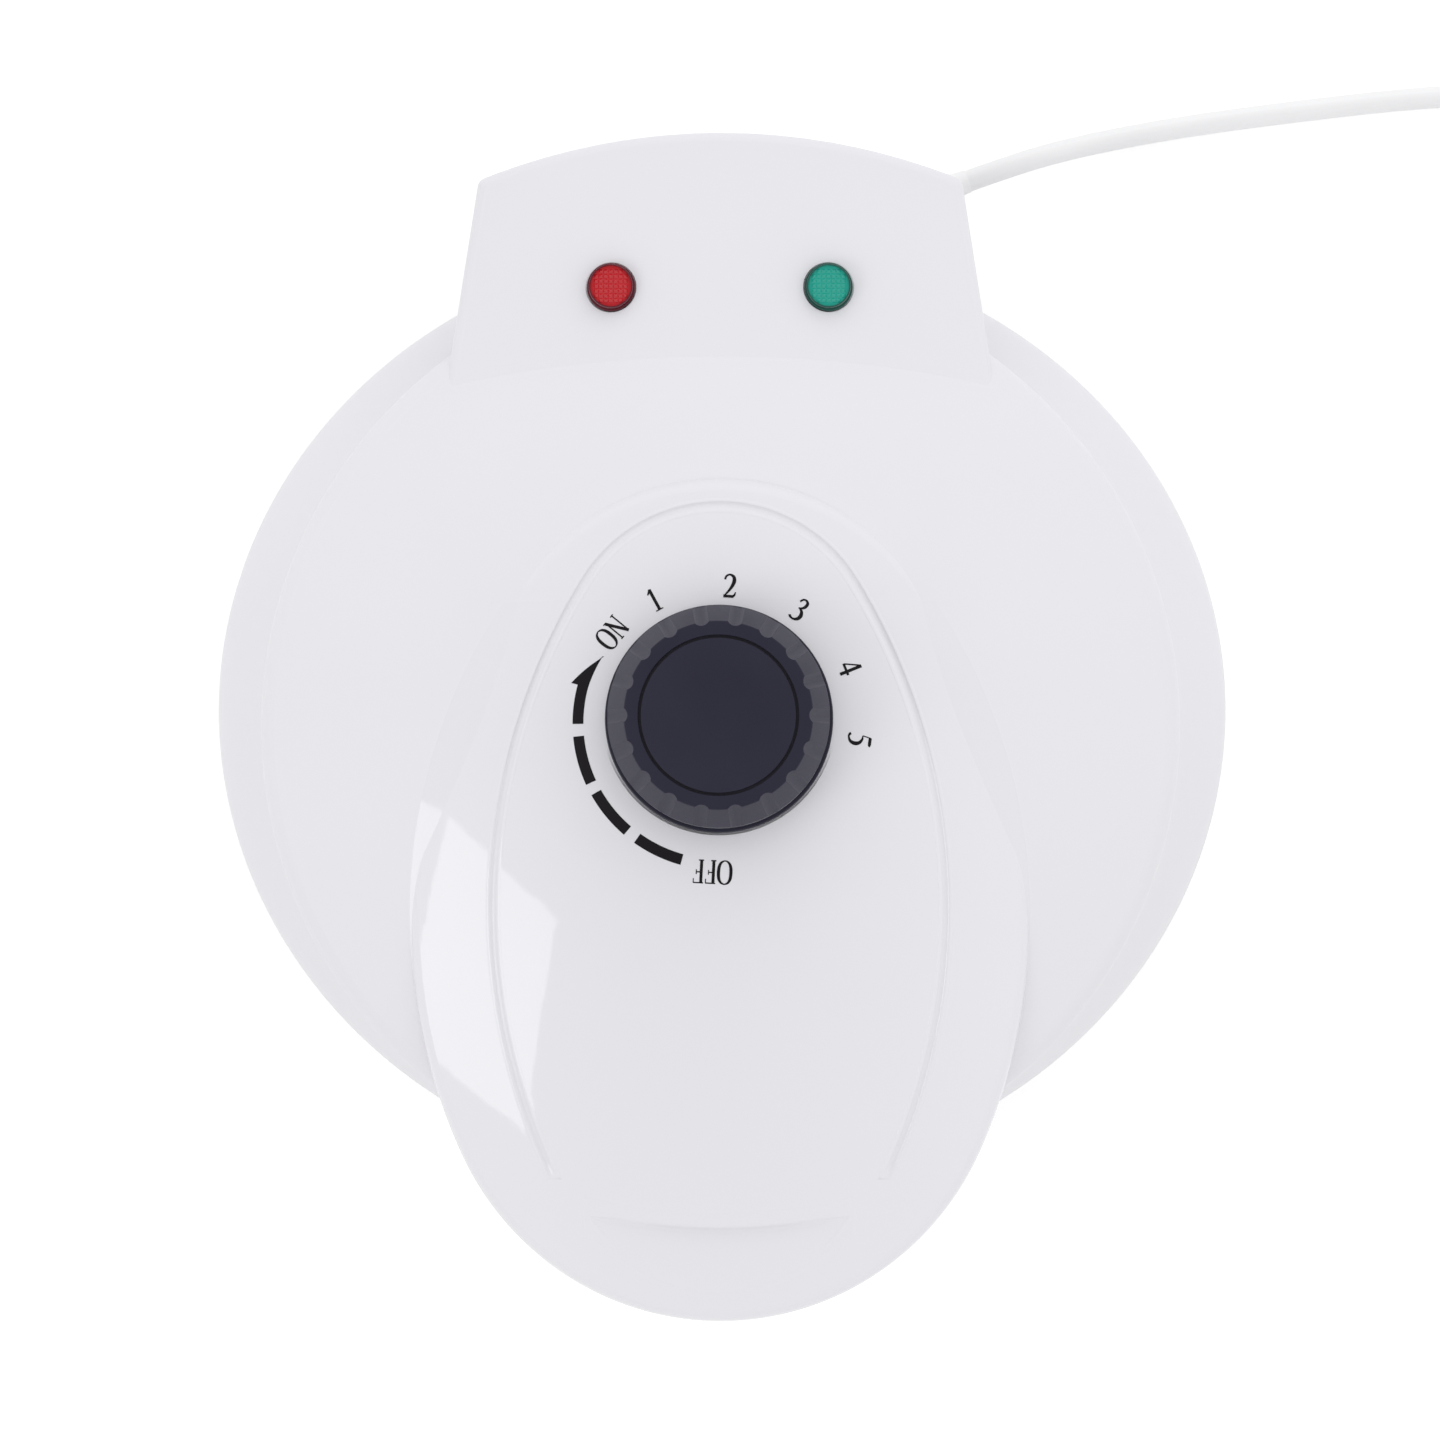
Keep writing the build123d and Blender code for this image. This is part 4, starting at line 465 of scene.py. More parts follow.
def lens_rim(tint):
    """A darker copy of a lens's colour on its flange and side: painted shade for the dark ring round the
    lens.
    """
    looks = bpy.context.scene.waffle_finishes
    base = {"red": looks.red_rim_shade, "green": looks.green_rim_shade}[tint]
    values = {"Colour": (*base, 1), "Mottling": 0.1, "Roughness": 0.12, "Roughness spread": 0.04,
              "Waviness": 0.0, "Grain": 0.0}
    return material_with(f"{tint}_lens_rim", moulded_surface(), values, {"Specular IOR Level": 0.5})


def slot_of(node):
    """The record's material slot of a CAD node."""
    return next(part["material_slot"] for part in frame["record"]["subparts"] if part["node"] == node)


# Top of the lid and the pen strokes of its print

EGG_CREST = 85.4
EGG_CREST_AT = -15
EGG_RADIUS_ALONG = 345
EGG_AXIS_ACROSS = -86.6
STROKE_SPREAD = 1.25
STROKE_EXTRA = 0.004


def egg_level(x, y):
    """Height of the egg's top, in millimetres."""
    crest = EGG_CREST - EGG_RADIUS_ALONG + sqrt(EGG_RADIUS_ALONG**2 - (y - EGG_CREST_AT) ** 2)
    return EGG_AXIS_ACROSS + sqrt((crest - EGG_AXIS_ACROSS) ** 2 - x**2)


def strip(line):
    """Both edges of a pen stroke, given as (x, y, half width) and smoothed through its points."""
    ends = [line[0]] + list(line) + [line[-1]]
    points = []
    steps = 6 if len(line) > 2 else 1
    for place in range(1, len(ends) - 2):
        a, b, c, d = (Vector(ends[place + shift]) for shift in (-1, 0, 1, 2))
        for step in range(steps):
            t = step / steps
            points.append(0.5 * ((2 * b) + (c - a) * t + (2 * a - 5 * b + 4 * c - d) * t**2
                                 + (3 * b - a - 3 * c + d) * t**3))
    points.append(Vector(ends[-2]))
    left = []
    right = []
    for place, point in enumerate(points):
        before = points[max(place - 1, 0)]
        after = points[min(place + 1, len(points) - 1)]
        way = Vector((after.x - before.x, after.y - before.y)).normalized()
        side = Vector((-way.y, way.x)) * (point.z * STROKE_SPREAD + STROKE_EXTRA)
        left.append(Vector((point.x, point.y)) + side)
        right.append(Vector((point.x, point.y)) - side)
    return left, right


# Advance of each letter and its strokes, in shares of the letter height
GLYPHS = {
    "1": (0.50, [[(0.10, 0.80, 0.018), (0.18, 0.87, 0.030), (0.27, 0.99, 0.030)],
                 [(0.27, 0.99, 0.050), (0.27, 0.02, 0.050)],
                 [(0.10, 0.015, 0.018), (0.44, 0.015, 0.018)]]),
    "2": (0.56, [[(0.05, 0.76, 0.030), (0.10, 0.91, 0.032), (0.25, 0.985, 0.030), (0.41, 0.90, 0.050),
                  (0.45, 0.72, 0.062), (0.37, 0.48, 0.050), (0.22, 0.25, 0.034), (0.05, 0.04, 0.020)],
                 [(0.03, 0.045, 0.045), (0.46, 0.045, 0.045)],
                 [(0.44, 0.05, 0.040), (0.50, 0.12, 0.030), (0.54, 0.24, 0.012)]]),
    "3": (0.54, [[(0.07, 0.80, 0.030), (0.14, 0.94, 0.030), (0.27, 0.985, 0.032), (0.39, 0.90, 0.048),
                  (0.39, 0.73, 0.050), (0.30, 0.60, 0.032), (0.17, 0.535, 0.016)],
                 [(0.20, 0.545, 0.018), (0.36, 0.48, 0.046), (0.45, 0.29, 0.062), (0.38, 0.09, 0.050),
                  (0.22, 0.010, 0.032), (0.08, 0.03, 0.040), (0.03, 0.09, 0.045)]]),
    "4": (0.56, [[(0.35, 0.97, 0.022), (0.03, 0.33, 0.022)],
                 [(0.01, 0.31, 0.040), (0.54, 0.31, 0.040)],
                 [(0.38, 0.99, 0.052), (0.38, 0.00, 0.052)]]),
    "5": (0.54, [[(0.15, 0.93, 0.050), (0.44, 0.93, 0.050), (0.48, 0.97, 0.030)],
                 [(0.15, 0.97, 0.016), (0.08, 0.60, 0.016)],
                 [(0.08, 0.60, 0.016), (0.24, 0.59, 0.036), (0.40, 0.47, 0.055), (0.44, 0.28, 0.062),
                  (0.36, 0.09, 0.046), (0.20, 0.010, 0.030), (0.08, 0.03, 0.038), (0.03, 0.09, 0.040)]]),
    "O": (0.66, [[(0.31, 1.00, 0.018), (0.16, 0.93, 0.034), (0.07, 0.76, 0.048), (0.045, 0.50, 0.052),
                  (0.07, 0.24, 0.048), (0.16, 0.07, 0.034), (0.31, 0.00, 0.018), (0.46, 0.07, 0.034),
                  (0.55, 0.24, 0.048), (0.575, 0.50, 0.052), (0.55, 0.76, 0.048), (0.46, 0.93, 0.034),
                  (0.31, 1.00, 0.018)]]),
    "N": (0.66, [[(0.13, 0.98, 0.022), (0.13, 0.02, 0.022)], [(0.10, 0.97, 0.050), (0.55, 0.02, 0.050)],
                 [(0.55, 0.98, 0.022), (0.55, 0.02, 0.022)], [(0.00, 0.985, 0.016), (0.15, 0.985, 0.016)],
                 [(0.05, 0.015, 0.016), (0.22, 0.015, 0.016)], [(0.46, 0.985, 0.016), (0.63, 0.985, 0.016)]]),
    "F": (0.52, [[(0.13, 0.98, 0.048), (0.13, 0.02, 0.048)], [(0.03, 0.980, 0.018), (0.45, 0.980, 0.018)],
                 [(0.45, 0.99, 0.012), (0.45, 0.80, 0.014)], [(0.13, 0.52, 0.018), (0.34, 0.52, 0.018)],
                 [(0.34, 0.62, 0.013), (0.34, 0.42, 0.013)], [(0.03, 0.015, 0.018), (0.25, 0.015, 0.018)]]),
}

# Each word, the place of its middle in millimetres and its turn clockwise in degrees
DIAL_WORDS = [
    ("ON", -24.53, 19.54, -50.5),
    ("1", -14.91, 27.08, -28.4),
    ("2", 2.48, 30.27, 4.2),
    ("3", 18.50, 24.77, 35.5),
    ("4", 29.92, 11.48, 67.4),
    ("5", 32.17, -5.03, 97.3),
    ("OFF", -1.60, -35.22, 183.0),
]


class WAFFLE_OT_stage(bpy.types.Operator):
    """Camera, softbox, fill light, sky and floor"""
    bl_idname = "waffle.stage"
    bl_label = "Stage"

    def execute(self, context):
        sizes = context.scene.waffle_stage
        scene = context.scene
        aim = Vector((0, 0.00084, 0.060))
        side = sin(sizes.camera_side)
        lean = -sin(sizes.camera_tilt)
        back = Vector((side, lean, sqrt(1 - side**2 - lean**2)))
        right = Vector((0, 1, 0)).cross(back).normalized()
        up = back.cross(right)
        camera_data = bpy.data.cameras.new("camera")
        camera_data.lens = sizes.focal
        camera = bpy.data.objects.new("camera", camera_data)
        camera.matrix_world = Matrix.Translation(aim + back * sizes.camera_distance) @ Matrix(
            (right, up, back)).transposed().to_4x4()
        scene.collection.objects.link(camera)
        scene.camera = camera

        for name, power, way, distance, size, turned in (
                ("softbox_left", sizes.softbox_power, Vector((-0.645, -0.27, 0.716)), 1.4, (0.52, 0.52),
                 pi / 4),
                ("softbox_rear", sizes.fill_power, Vector((0.20, 0.85, 0.35)), 1.8, (1.0, 0.6), 0)):
            light = bpy.data.lights.new(name, "AREA")
            light.shape = "RECTANGLE"
            light.size, light.size_y = size
            light.energy = power
            lamp = bpy.data.objects.new(name, light)
            lamp.location = way.normalized() * distance
            lamp.rotation_mode = "QUATERNION"
            lamp.rotation_quaternion = way.to_track_quat("Z", "Y") @ Quaternion((0, 0, 1), turned)
            scene.collection.objects.link(lamp)

        self.light_sky(scene, sizes.sky)
        count = 96
        points, faces = lathe([(0, 0), (sizes.floor_radius / MM, 0)], count)
        upward = [face[::-1] for face in faces[:count]]
        floor = bpy.data.objects.new("floor", mesh_from("floor", points, upward, self.floor_material()))
        scene.collection.objects.link(floor)
        scene.view_settings.view_transform = "Standard"
        return {"FINISHED"}

    def light_sky(self, scene, strength):
        """A sky that lights a little more from the rear right, and that gloss mirrors greyer overhead."""
        slope_way = (0.15, 0.14, 0)
        overhead = 0.28
        world = bpy.data.worlds.new("studio")
        scene.world = world
        world.use_nodes = True
        tree = world.node_tree
        tree.nodes.clear()
        way = put(tree, "ShaderNodeTexCoord").outputs["Generated"]
        rise = put(tree, "ShaderNodeSeparateXYZ", {0: way}).outputs["Z"]
        mirrored = put(tree, "ShaderNodeMapRange", {"Value": rise, "From Min": 0.6, "From Max": 1.0,
                                                    "To Min": 1.0, "To Max": overhead}).outputs[0]
        slope = put(tree, "ShaderNodeVectorMath", {0: way, 1: slope_way}, operation="DOT_PRODUCT")
        lit = maths(tree, "MULTIPLY_ADD", slope.outputs["Value"], strength, strength)
        level = put(tree, "ShaderNodeMix", {0: seen_rays(tree), 2: lit, 3: mirrored}).outputs[0]
        light = put(tree, "ShaderNodeBackground", {"Color": (1, 1, 1, 1), "Strength": level}).outputs[0]
        put(tree, "ShaderNodeOutputWorld", {"Surface": light})

    def floor_material(self):
        """White floor that keeps the object's shadow: it glows where it is seen, and only there."""
        glow_level, seen_tone, unseen_tone = 0.62, 0.5, 0.95
        made = bpy.data.materials.new("floor_white")
        made.use_nodes = True
        tree = made.node_tree
        tree.nodes.clear()
        seen = seen_rays(tree)
        tone = put(tree, "ShaderNodeMix", {0: seen, 2: unseen_tone, 3: seen_tone}).outputs[0]
        matt = put(tree, "ShaderNodeBsdfDiffuse", {"Color": tone}).outputs[0]
        strength = maths(tree, "MULTIPLY", seen, glow_level)
        glow = put(tree, "ShaderNodeEmission", {"Color": (1, 1, 1, 1), "Strength": strength}).outputs[0]
        both = put(tree, "ShaderNodeAddShader", {0: matt, 1: glow}).outputs[0]
        put(tree, "ShaderNodeOutputMaterial", {"Surface": both})
        return made


class WAFFLE_OT_finishes(bpy.types.Operator):
    """Materials on the carried CAD nodes"""
    bl_idname = "waffle.finishes"
    bl_label = "Finishes"

    def execute(self, context):
        for name, node in frame["nodes"].items():
            if not node.material_slots:
                node.data.materials.append(None)
            for held in node.material_slots:
                held.material = finish_for(slot_of(name))
        return {"FINISHED"}


class WAFFLE_OT_cord(bpy.types.Operator):
    """Mains cord with its coil"""
    bl_idname = "waffle.cord"
    bl_label = "Mains cord"

    def coil_point(self, turns):
        """A point of the coil, which winds in below and out again above."""
        inner_radius, pitch, inward_turns, climb_turns = 24.2, 5.9, 2, 0.5
        centre_x, centre_y, level = 228, 123, 3.5
        radius = inner_radius + pitch * abs(turns - inward_turns)
        turned = radians(90 - 360 * turns)
        climb = min(max((turns - inward_turns) / climb_turns + 0.5, 0), 1)
        return (centre_x + radius * cos(turned), centre_y + radius * sin(turned),
                level + pitch * climb**2 * (3 - 2 * climb))

    def execute(self, context):
        sizes = context.scene.waffle_cord
        route = [(60.616, 135.862, 11.5), (74.711, 140.992, 11.5), (92.5, 146.6, 4.4), (115, 151, 2.8),
                 (142, 154.6, 2.8), (172, 158, 2.8), (198, 159, 3.5), (222.6, 159, 3.5)]
        turns = 4.25
        per_turn = 20
        route += [self.coil_point(step / per_turn) for step in range(int(turns * per_turn) + 1)]
        route += [(265.2, 110.0, 11.4), (261.4, 98.0, 15.8), (257.0, 88.0, 18.6), (257.0, 80.0, 18.6)]
        line = bpy.data.curves.new("mains_cord", "CURVE")
        line.dimensions = "3D"
        line.bevel_depth = sizes.diameter / 2
        line.bevel_resolution = 5
        line.resolution_u = 6
        line.use_fill_caps = True
        spline = line.splines.new("NURBS")
        spline.points.add(len(route) - 1)
        for held, point in zip(spline.points, route):
            held.co = (*(Vector(point) * MM), 1)
        spline.order_u = 3
        spline.use_endpoint_u = True
        line.materials.append(finish_for("cord_plastic"))
        cord = piece("mains_cord_run", line, "base", "cord_plastic", "mains_cord", "cord_coil")
        return {"FINISHED"}


class WAFFLE_OT_strain_relief(bpy.types.Operator):
    """Ribbed strain relief at the cord's exit"""
    bl_idname = "waffle.strain_relief"
    bl_label = "Strain relief"

    def execute(self, context):
        rings = context.scene.waffle_cord.rings
        outlet, turned = (36.184, 126.969, 11.5), radians(20)
        reach = 26.0
        root, tip = 5.2, 3.5
        neck, flange, inner_end, flange_face = 4.0, 4.7, -4.2, -2.6
        pitch = (reach - 6) / rings
        profile = [(0, inner_end), (flange, inner_end), (flange, flange_face), (neck, flange_face),
                   (neck, 0), (root, 0), (root, 1.2)]
        for ring in range(rings):
            for share, depth in ((0.12, 0), (0.24, 0.45), (0.40, 0.75),
                                 (0.60, 0.75), (0.76, 0.45), (0.88, 0)):
                along = 1.6 + pitch * (ring + share)
                profile.append((root + (tip - root) * along / reach - depth, along))
        profile += [(3.1, reach - 4), (2.85, reach - 0.3), (2.75, reach), (0, reach)]
        points, faces = lathe(profile, 40)
        way = Vector((cos(turned), sin(turned), 0))
        turn = way.to_track_quat("Z", "Y").to_matrix().to_4x4()
        points = place(points, Matrix.Translation(outlet) @ turn)
        mesh = mesh_from("strain_relief_ribbed", points, faces, finish_for("cord_plastic"), 50)
        piece("strain_relief_ribbed", mesh, "base", "cord_plastic", "strain_relief")
        return {"FINISHED"}


class WAFFLE_OT_knob(bpy.types.Operator):
    """Fluted thermostat knob and its cap"""
    bl_idname = "waffle.knob"
    bl_label = "Knob"

    def execute(self, context):
        sizes = context.scene.waffle_knob
        bore, hub, hollow, skirt, barrel, crown, recess = 3.05, 6.5, 19.0, 26.0, 25.1, 21.2, 18.1
        foot, skirt_top, bevel_foot, top = 83.7, 86.1, 96.5, 102.5
        bore_top, hollow_top, cap_seat = 97.8, 98.7, 100.9
        count, cap_edge = 144, 0.06
        profile = rounded([
            (bore, foot), (hub, foot), (hub, hollow_top), (hollow, hollow_top), (hollow, foot),
            (skirt, foot, True), (skirt, skirt_top, True), (barrel, skirt_top), (barrel, bevel_foot, True),
            (crown, top, True), (recess, top), (recess, cap_seat), (0, cap_seat), (0, bore_top),
            (bore, bore_top)], sizes.edge / MM)
        points, faces = lathe(profile, count)
        body = mesh_from("knob_body", points, faces)
        tree, given, result = new_tree(
            "Fluted knob", "GeometryNodeTree",
            [("Geometry", "Geometry"), ("Flutes", "Int", 18), ("Flute radius", "Float", 0.0027),
             ("Flute centre", "Float", 0.0246), ("Flute tilt", "Float", 0.18), ("Top", "Float", 0.1025),
             ("Material", "Material")],
            [("Geometry", "Geometry")])
        self.flute_nodes(tree, given, result)
        material = finish_for("knob_plastic")
        mesh = grow("knob_fluted", tree, body, {
            "Flutes": sizes.flutes, "Flute radius": sizes.flute_radius, "Flute centre": sizes.flute_centre,
            "Flute tilt": sizes.flute_tilt, "Material": material})
        piece("knob_fluted", dress(mesh, material, 28), "knob", "knob_plastic", "knob")
        cap_radius = recess - sizes.groove / MM
        profile = rounded([(0, cap_seat), (cap_radius, cap_seat), (cap_radius, top, True), (0, top)],
                          cap_edge)
        points, faces = lathe(profile, count)
        cap = mesh_from("knob_cap_disc", points, faces, finish_for("knob_cap"))
        piece("knob_cap_disc", cap, "knob", "knob_cap", "knob_cap")
        return {"FINISHED"}

    def flute_nodes(self, tree, given, result):
        """Cuts leaning cylinders out of the knob's edge."""
        tall = 0.030
        cutter = put(tree, "GeometryNodeMeshCylinder", {
            "Vertices": 40, "Radius": given["Flute radius"], "Depth": tall}).outputs["Mesh"]
        ring = put(tree, "GeometryNodeMeshCircle", {
            "Vertices": given["Flutes"], "Radius": given["Flute centre"]}).outputs["Mesh"]
        where = put(tree, "GeometryNodeInputPosition").outputs[0]
        axes = put(tree, "ShaderNodeSeparateXYZ", {0: where}).outputs
        turned = maths(tree, "ARCTAN2", axes["Y"], axes["X"])
        lean = maths(tree, "MULTIPLY", given["Flute tilt"], -1.0)
        euler = put(tree, "ShaderNodeCombineXYZ", {"Y": lean, "Z": turned}).outputs[0]
        raised = put(tree, "ShaderNodeCombineXYZ", {"Z": given["Top"]}).outputs[0]
        lifted = put(tree, "GeometryNodeSetPosition", {"Geometry": ring, "Offset": raised}).outputs[0]
        cutters = put(tree, "GeometryNodeInstanceOnPoints", {
            "Points": lifted, "Instance": cutter, "Rotation": euler}).outputs[0]
        solid = put(tree, "GeometryNodeRealizeInstances", {0: cutters}).outputs[0]
        cut = put(tree, "GeometryNodeMeshBoolean", operation="DIFFERENCE", solver="EXACT")
        tree.links.new(given["Geometry"], cut.inputs["Mesh 1"])
        tree.links.new(solid, cut.inputs["Mesh 2"])
        painted = put(tree, "GeometryNodeSetMaterial", {
            "Geometry": cut.outputs["Mesh"], "Material": given["Material"]}).outputs[0]
        tree.links.new(painted, result["Geometry"])


class WAFFLE_OT_lamps(bpy.types.Operator):
    """Red and green lenses with their prism faces"""
    bl_idname = "waffle.lamps"
    bl_label = "Indicator lights"

    def execute(self, context):
        sizes = context.scene.waffle_lamps
        tree, given, result = new_tree(
            "Prism face", "GeometryNodeTree",
            [("Geometry", "Geometry"), ("Pitch", "Float", 0.0013), ("Depth", "Float", 0.0004),
             ("Face radius", "Float", 0.004), ("Level", "Float", 0.0), ("Material", "Material")],
            [("Geometry", "Geometry")])
        self.prism_nodes(tree, given, result)
        for side, tint in ((-1, "red"), (1, "green")):
            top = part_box(f"{tint}_lens")[1].z / MM
            self.lens(sizes, tree, side, tint, top)
        return {"FINISHED"}

    def lens(self, sizes, tree, side, tint, top):
        """One lens: a flange and side darkened with painted shade, and a bright face of prisms."""
        aside, along = 0.0254, 0.1018
        bore, tube, flange, shoulder, crown, edge_radius = 3.1, 4.3, 5.65, 5.25, 5.15, 0.2
        seat = top - 3.5
        foot, roof, flange_top = seat - 6.4, seat + 0.8, seat + 1.6
        radius = sizes.face_radius / MM
        edge = top - sizes.face_depth / MM
        floor = edge - sizes.prism_depth / MM - 0.05
        points, faces = lathe(rounded([
            (bore, foot), (tube, foot), (tube, seat), (flange, seat), (flange, flange_top, True),
            (shoulder, flange_top), (crown, top, True), (radius, top), (radius, floor), (0, floor),
            (0, roof), (bore, roof)], edge_radius), 64)
        # The flange and side take the darker copy of the lens colour, which is painted shade.
        body = mesh_from(f"{tint}_lens_body", points, faces, lens_rim(tint))
        mesh = grow(f"{tint}_lens_prisms", tree, body, {
            "Pitch": sizes.prism_pitch, "Depth": sizes.prism_depth, "Face radius": sizes.face_radius,
            "Level": edge * MM, "Material": finish_for(f"{tint}_lens")})
        mesh.transform(Matrix.Translation((side * aside, along, 0)))
        piece(f"{tint}_lens_prisms", dress(mesh, sharp=20), "lid", f"{tint}_lens", f"{tint}_lens")

    def prism_nodes(self, tree, given, result):
        """Square pyramids in a grid on a disc, where they fit in the round face."""
        rows = 9
        span = maths(tree, "MULTIPLY", given["Pitch"], rows - 1.0)
        grid = put(tree, "GeometryNodeMeshGrid", {
            "Size X": span, "Size Y": span, "Vertices X": rows, "Vertices Y": rows}).outputs["Mesh"]
        where = put(tree, "GeometryNodeInputPosition").outputs[0]
        away = put(tree, "ShaderNodeVectorMath", {0: where}, operation="LENGTH").outputs["Value"]
        corner = maths(tree, "MULTIPLY", given["Pitch"], 0.55)
        limit = maths(tree, "SUBTRACT", given["Face radius"], corner)
        fits = put(tree, "FunctionNodeCompare", {0: away, 1: limit}, operation="LESS_THAN").outputs[0]
        spread = maths(tree, "MULTIPLY", given["Pitch"], sqrt(0.5))
        prism = put(tree, "GeometryNodeMeshCone", {
            "Vertices": 4, "Radius Top": 0.0, "Radius Bottom": spread,
            "Depth": given["Depth"]}).outputs["Mesh"]
        turn = put(tree, "ShaderNodeCombineXYZ", {"Z": pi / 4}).outputs[0]
        dots = put(tree, "GeometryNodeInstanceOnPoints", {
            "Points": grid, "Selection": fits, "Instance": prism, "Rotation": turn}).outputs[0]
        solid = put(tree, "GeometryNodeRealizeInstances", {0: dots}).outputs[0]
        sunk = maths(tree, "SUBTRACT", given["Level"], given["Depth"])
        raised = put(tree, "ShaderNodeCombineXYZ", {"Z": sunk}).outputs[0]
        disc = put(tree, "GeometryNodeMeshCylinder", {
            "Vertices": 64, "Radius": given["Face radius"], "Depth": 0.0001}).outputs["Mesh"]
        bed = tree.nodes.new("GeometryNodeJoinGeometry")
        tree.links.new(disc, bed.inputs[0])
        tree.links.new(solid, bed.inputs[0])
        lifted = put(tree, "GeometryNodeSetPosition", {
            "Geometry": bed.outputs[0], "Offset": raised}).outputs[0]
        painted = put(tree, "GeometryNodeSetMaterial", {
            "Geometry": lifted, "Material": given["Material"]}).outputs[0]
        joined = tree.nodes.new("GeometryNodeJoinGeometry")
        tree.links.new(painted, joined.inputs[0])
        tree.links.new(given["Geometry"], joined.inputs[0])
        tree.links.new(joined.outputs[0], result["Geometry"])


class WAFFLE_OT_dial_print(bpy.types.Operator):
    """Figures, words and arrow printed on the lid round the knob"""
    bl_idname = "waffle.dial_print"
    bl_label = "Dial print"

    def execute(self, context):
        sizes = context.scene.waffle_dial
        self.points = []
        self.faces = []
        height = sizes.letter_height / MM
        rearward = 0.3
        self.ink = sizes.ink_thickness / MM
        for word, x, y, turned in DIAL_WORDS:
            self.write(word, x, y + rearward, -radians(turned), height)
        self.draw_arrow(sizes.arrow_radius / MM, sizes.arrow_width / MM)
        mesh = mesh_from("dial_print", self.points, self.faces, finish_for("dial_ink"))
        piece("dial_print", mesh, "lid", "knob_plastic")
        return {"FINISHED"}

    def lay(self, left, right):
        """A band of ink between two rows of points on the egg."""
        start = len(self.points)
        for first, second in zip(left, right):
            for point in (first, second):
                level = egg_level(point.x, point.y)
                self.points.append((point.x, point.y, level + self.ink))
                self.points.append((point.x, point.y, level - self.ink))
        count = len(left)
        for step in range(count - 1):
            a = start + 4 * step
            b = a + 4
            self.faces += [(a, a + 2, b + 2, b), (a + 1, b + 1, b + 3, a + 3),
                           (a, b, b + 1, a + 1), (a + 2, a + 3, b + 3, b + 2)]
        last = start + 4 * (count - 1)
        self.faces += [(start, start + 1, start + 3, start + 2), (last, last + 2, last + 3, last + 1)]

    def write(self, word, x, y, turned, height):
        """A word about a place, its feet towards the knob."""
        across = Vector((cos(turned), sin(turned)))
        up = Vector((-sin(turned), cos(turned)))
        middle = Vector((x, y))
        width = sum(GLYPHS[letter][0] for letter in word)
        along = -width / 2
        for letter in word:
            advance, lines = GLYPHS[letter]
            for line in lines:
                left, right = strip(line)
                self.lay(*([middle + across * (point.x + along) * height + up * (point.y - 0.5) * height
                            for point in side] for side in (left, right)))
            along += advance

    def draw_arrow(self, radius, width):
        """Four bands round the left of the knob, and an arrowhead that narrows to its point."""
        centre = Vector((0.22, -0.76))
        head_start, head_turn, head_steps, head_outer, head_taper = -75.0, 14.6, 8, 35.3, 4.7

        def on(turned, away):
            return centre + Vector((sin(radians(turned)), cos(radians(turned)))) * away

        near, far = radius - width / 2, radius + width / 2
        for first, last in ((-164.5, -144.5), (-139.5, -119.5), (-115.0, -95.5), (-90.5, -74.0)):
            turns = [first + (last - first) * step / 12 for step in range(13)]
            self.lay([on(turned, near) for turned in turns], [on(turned, far) for turned in turns])
        turns = [head_start + head_turn * step / head_steps for step in range(head_steps + 1)]
        inner = [on(turned, near - 0.4 * step / head_steps) for step, turned in enumerate(turns)]
        outer = [on(turned, head_outer - head_taper * step / head_steps) for step, turned in enumerate(turns)]
        self.lay(inner, outer)


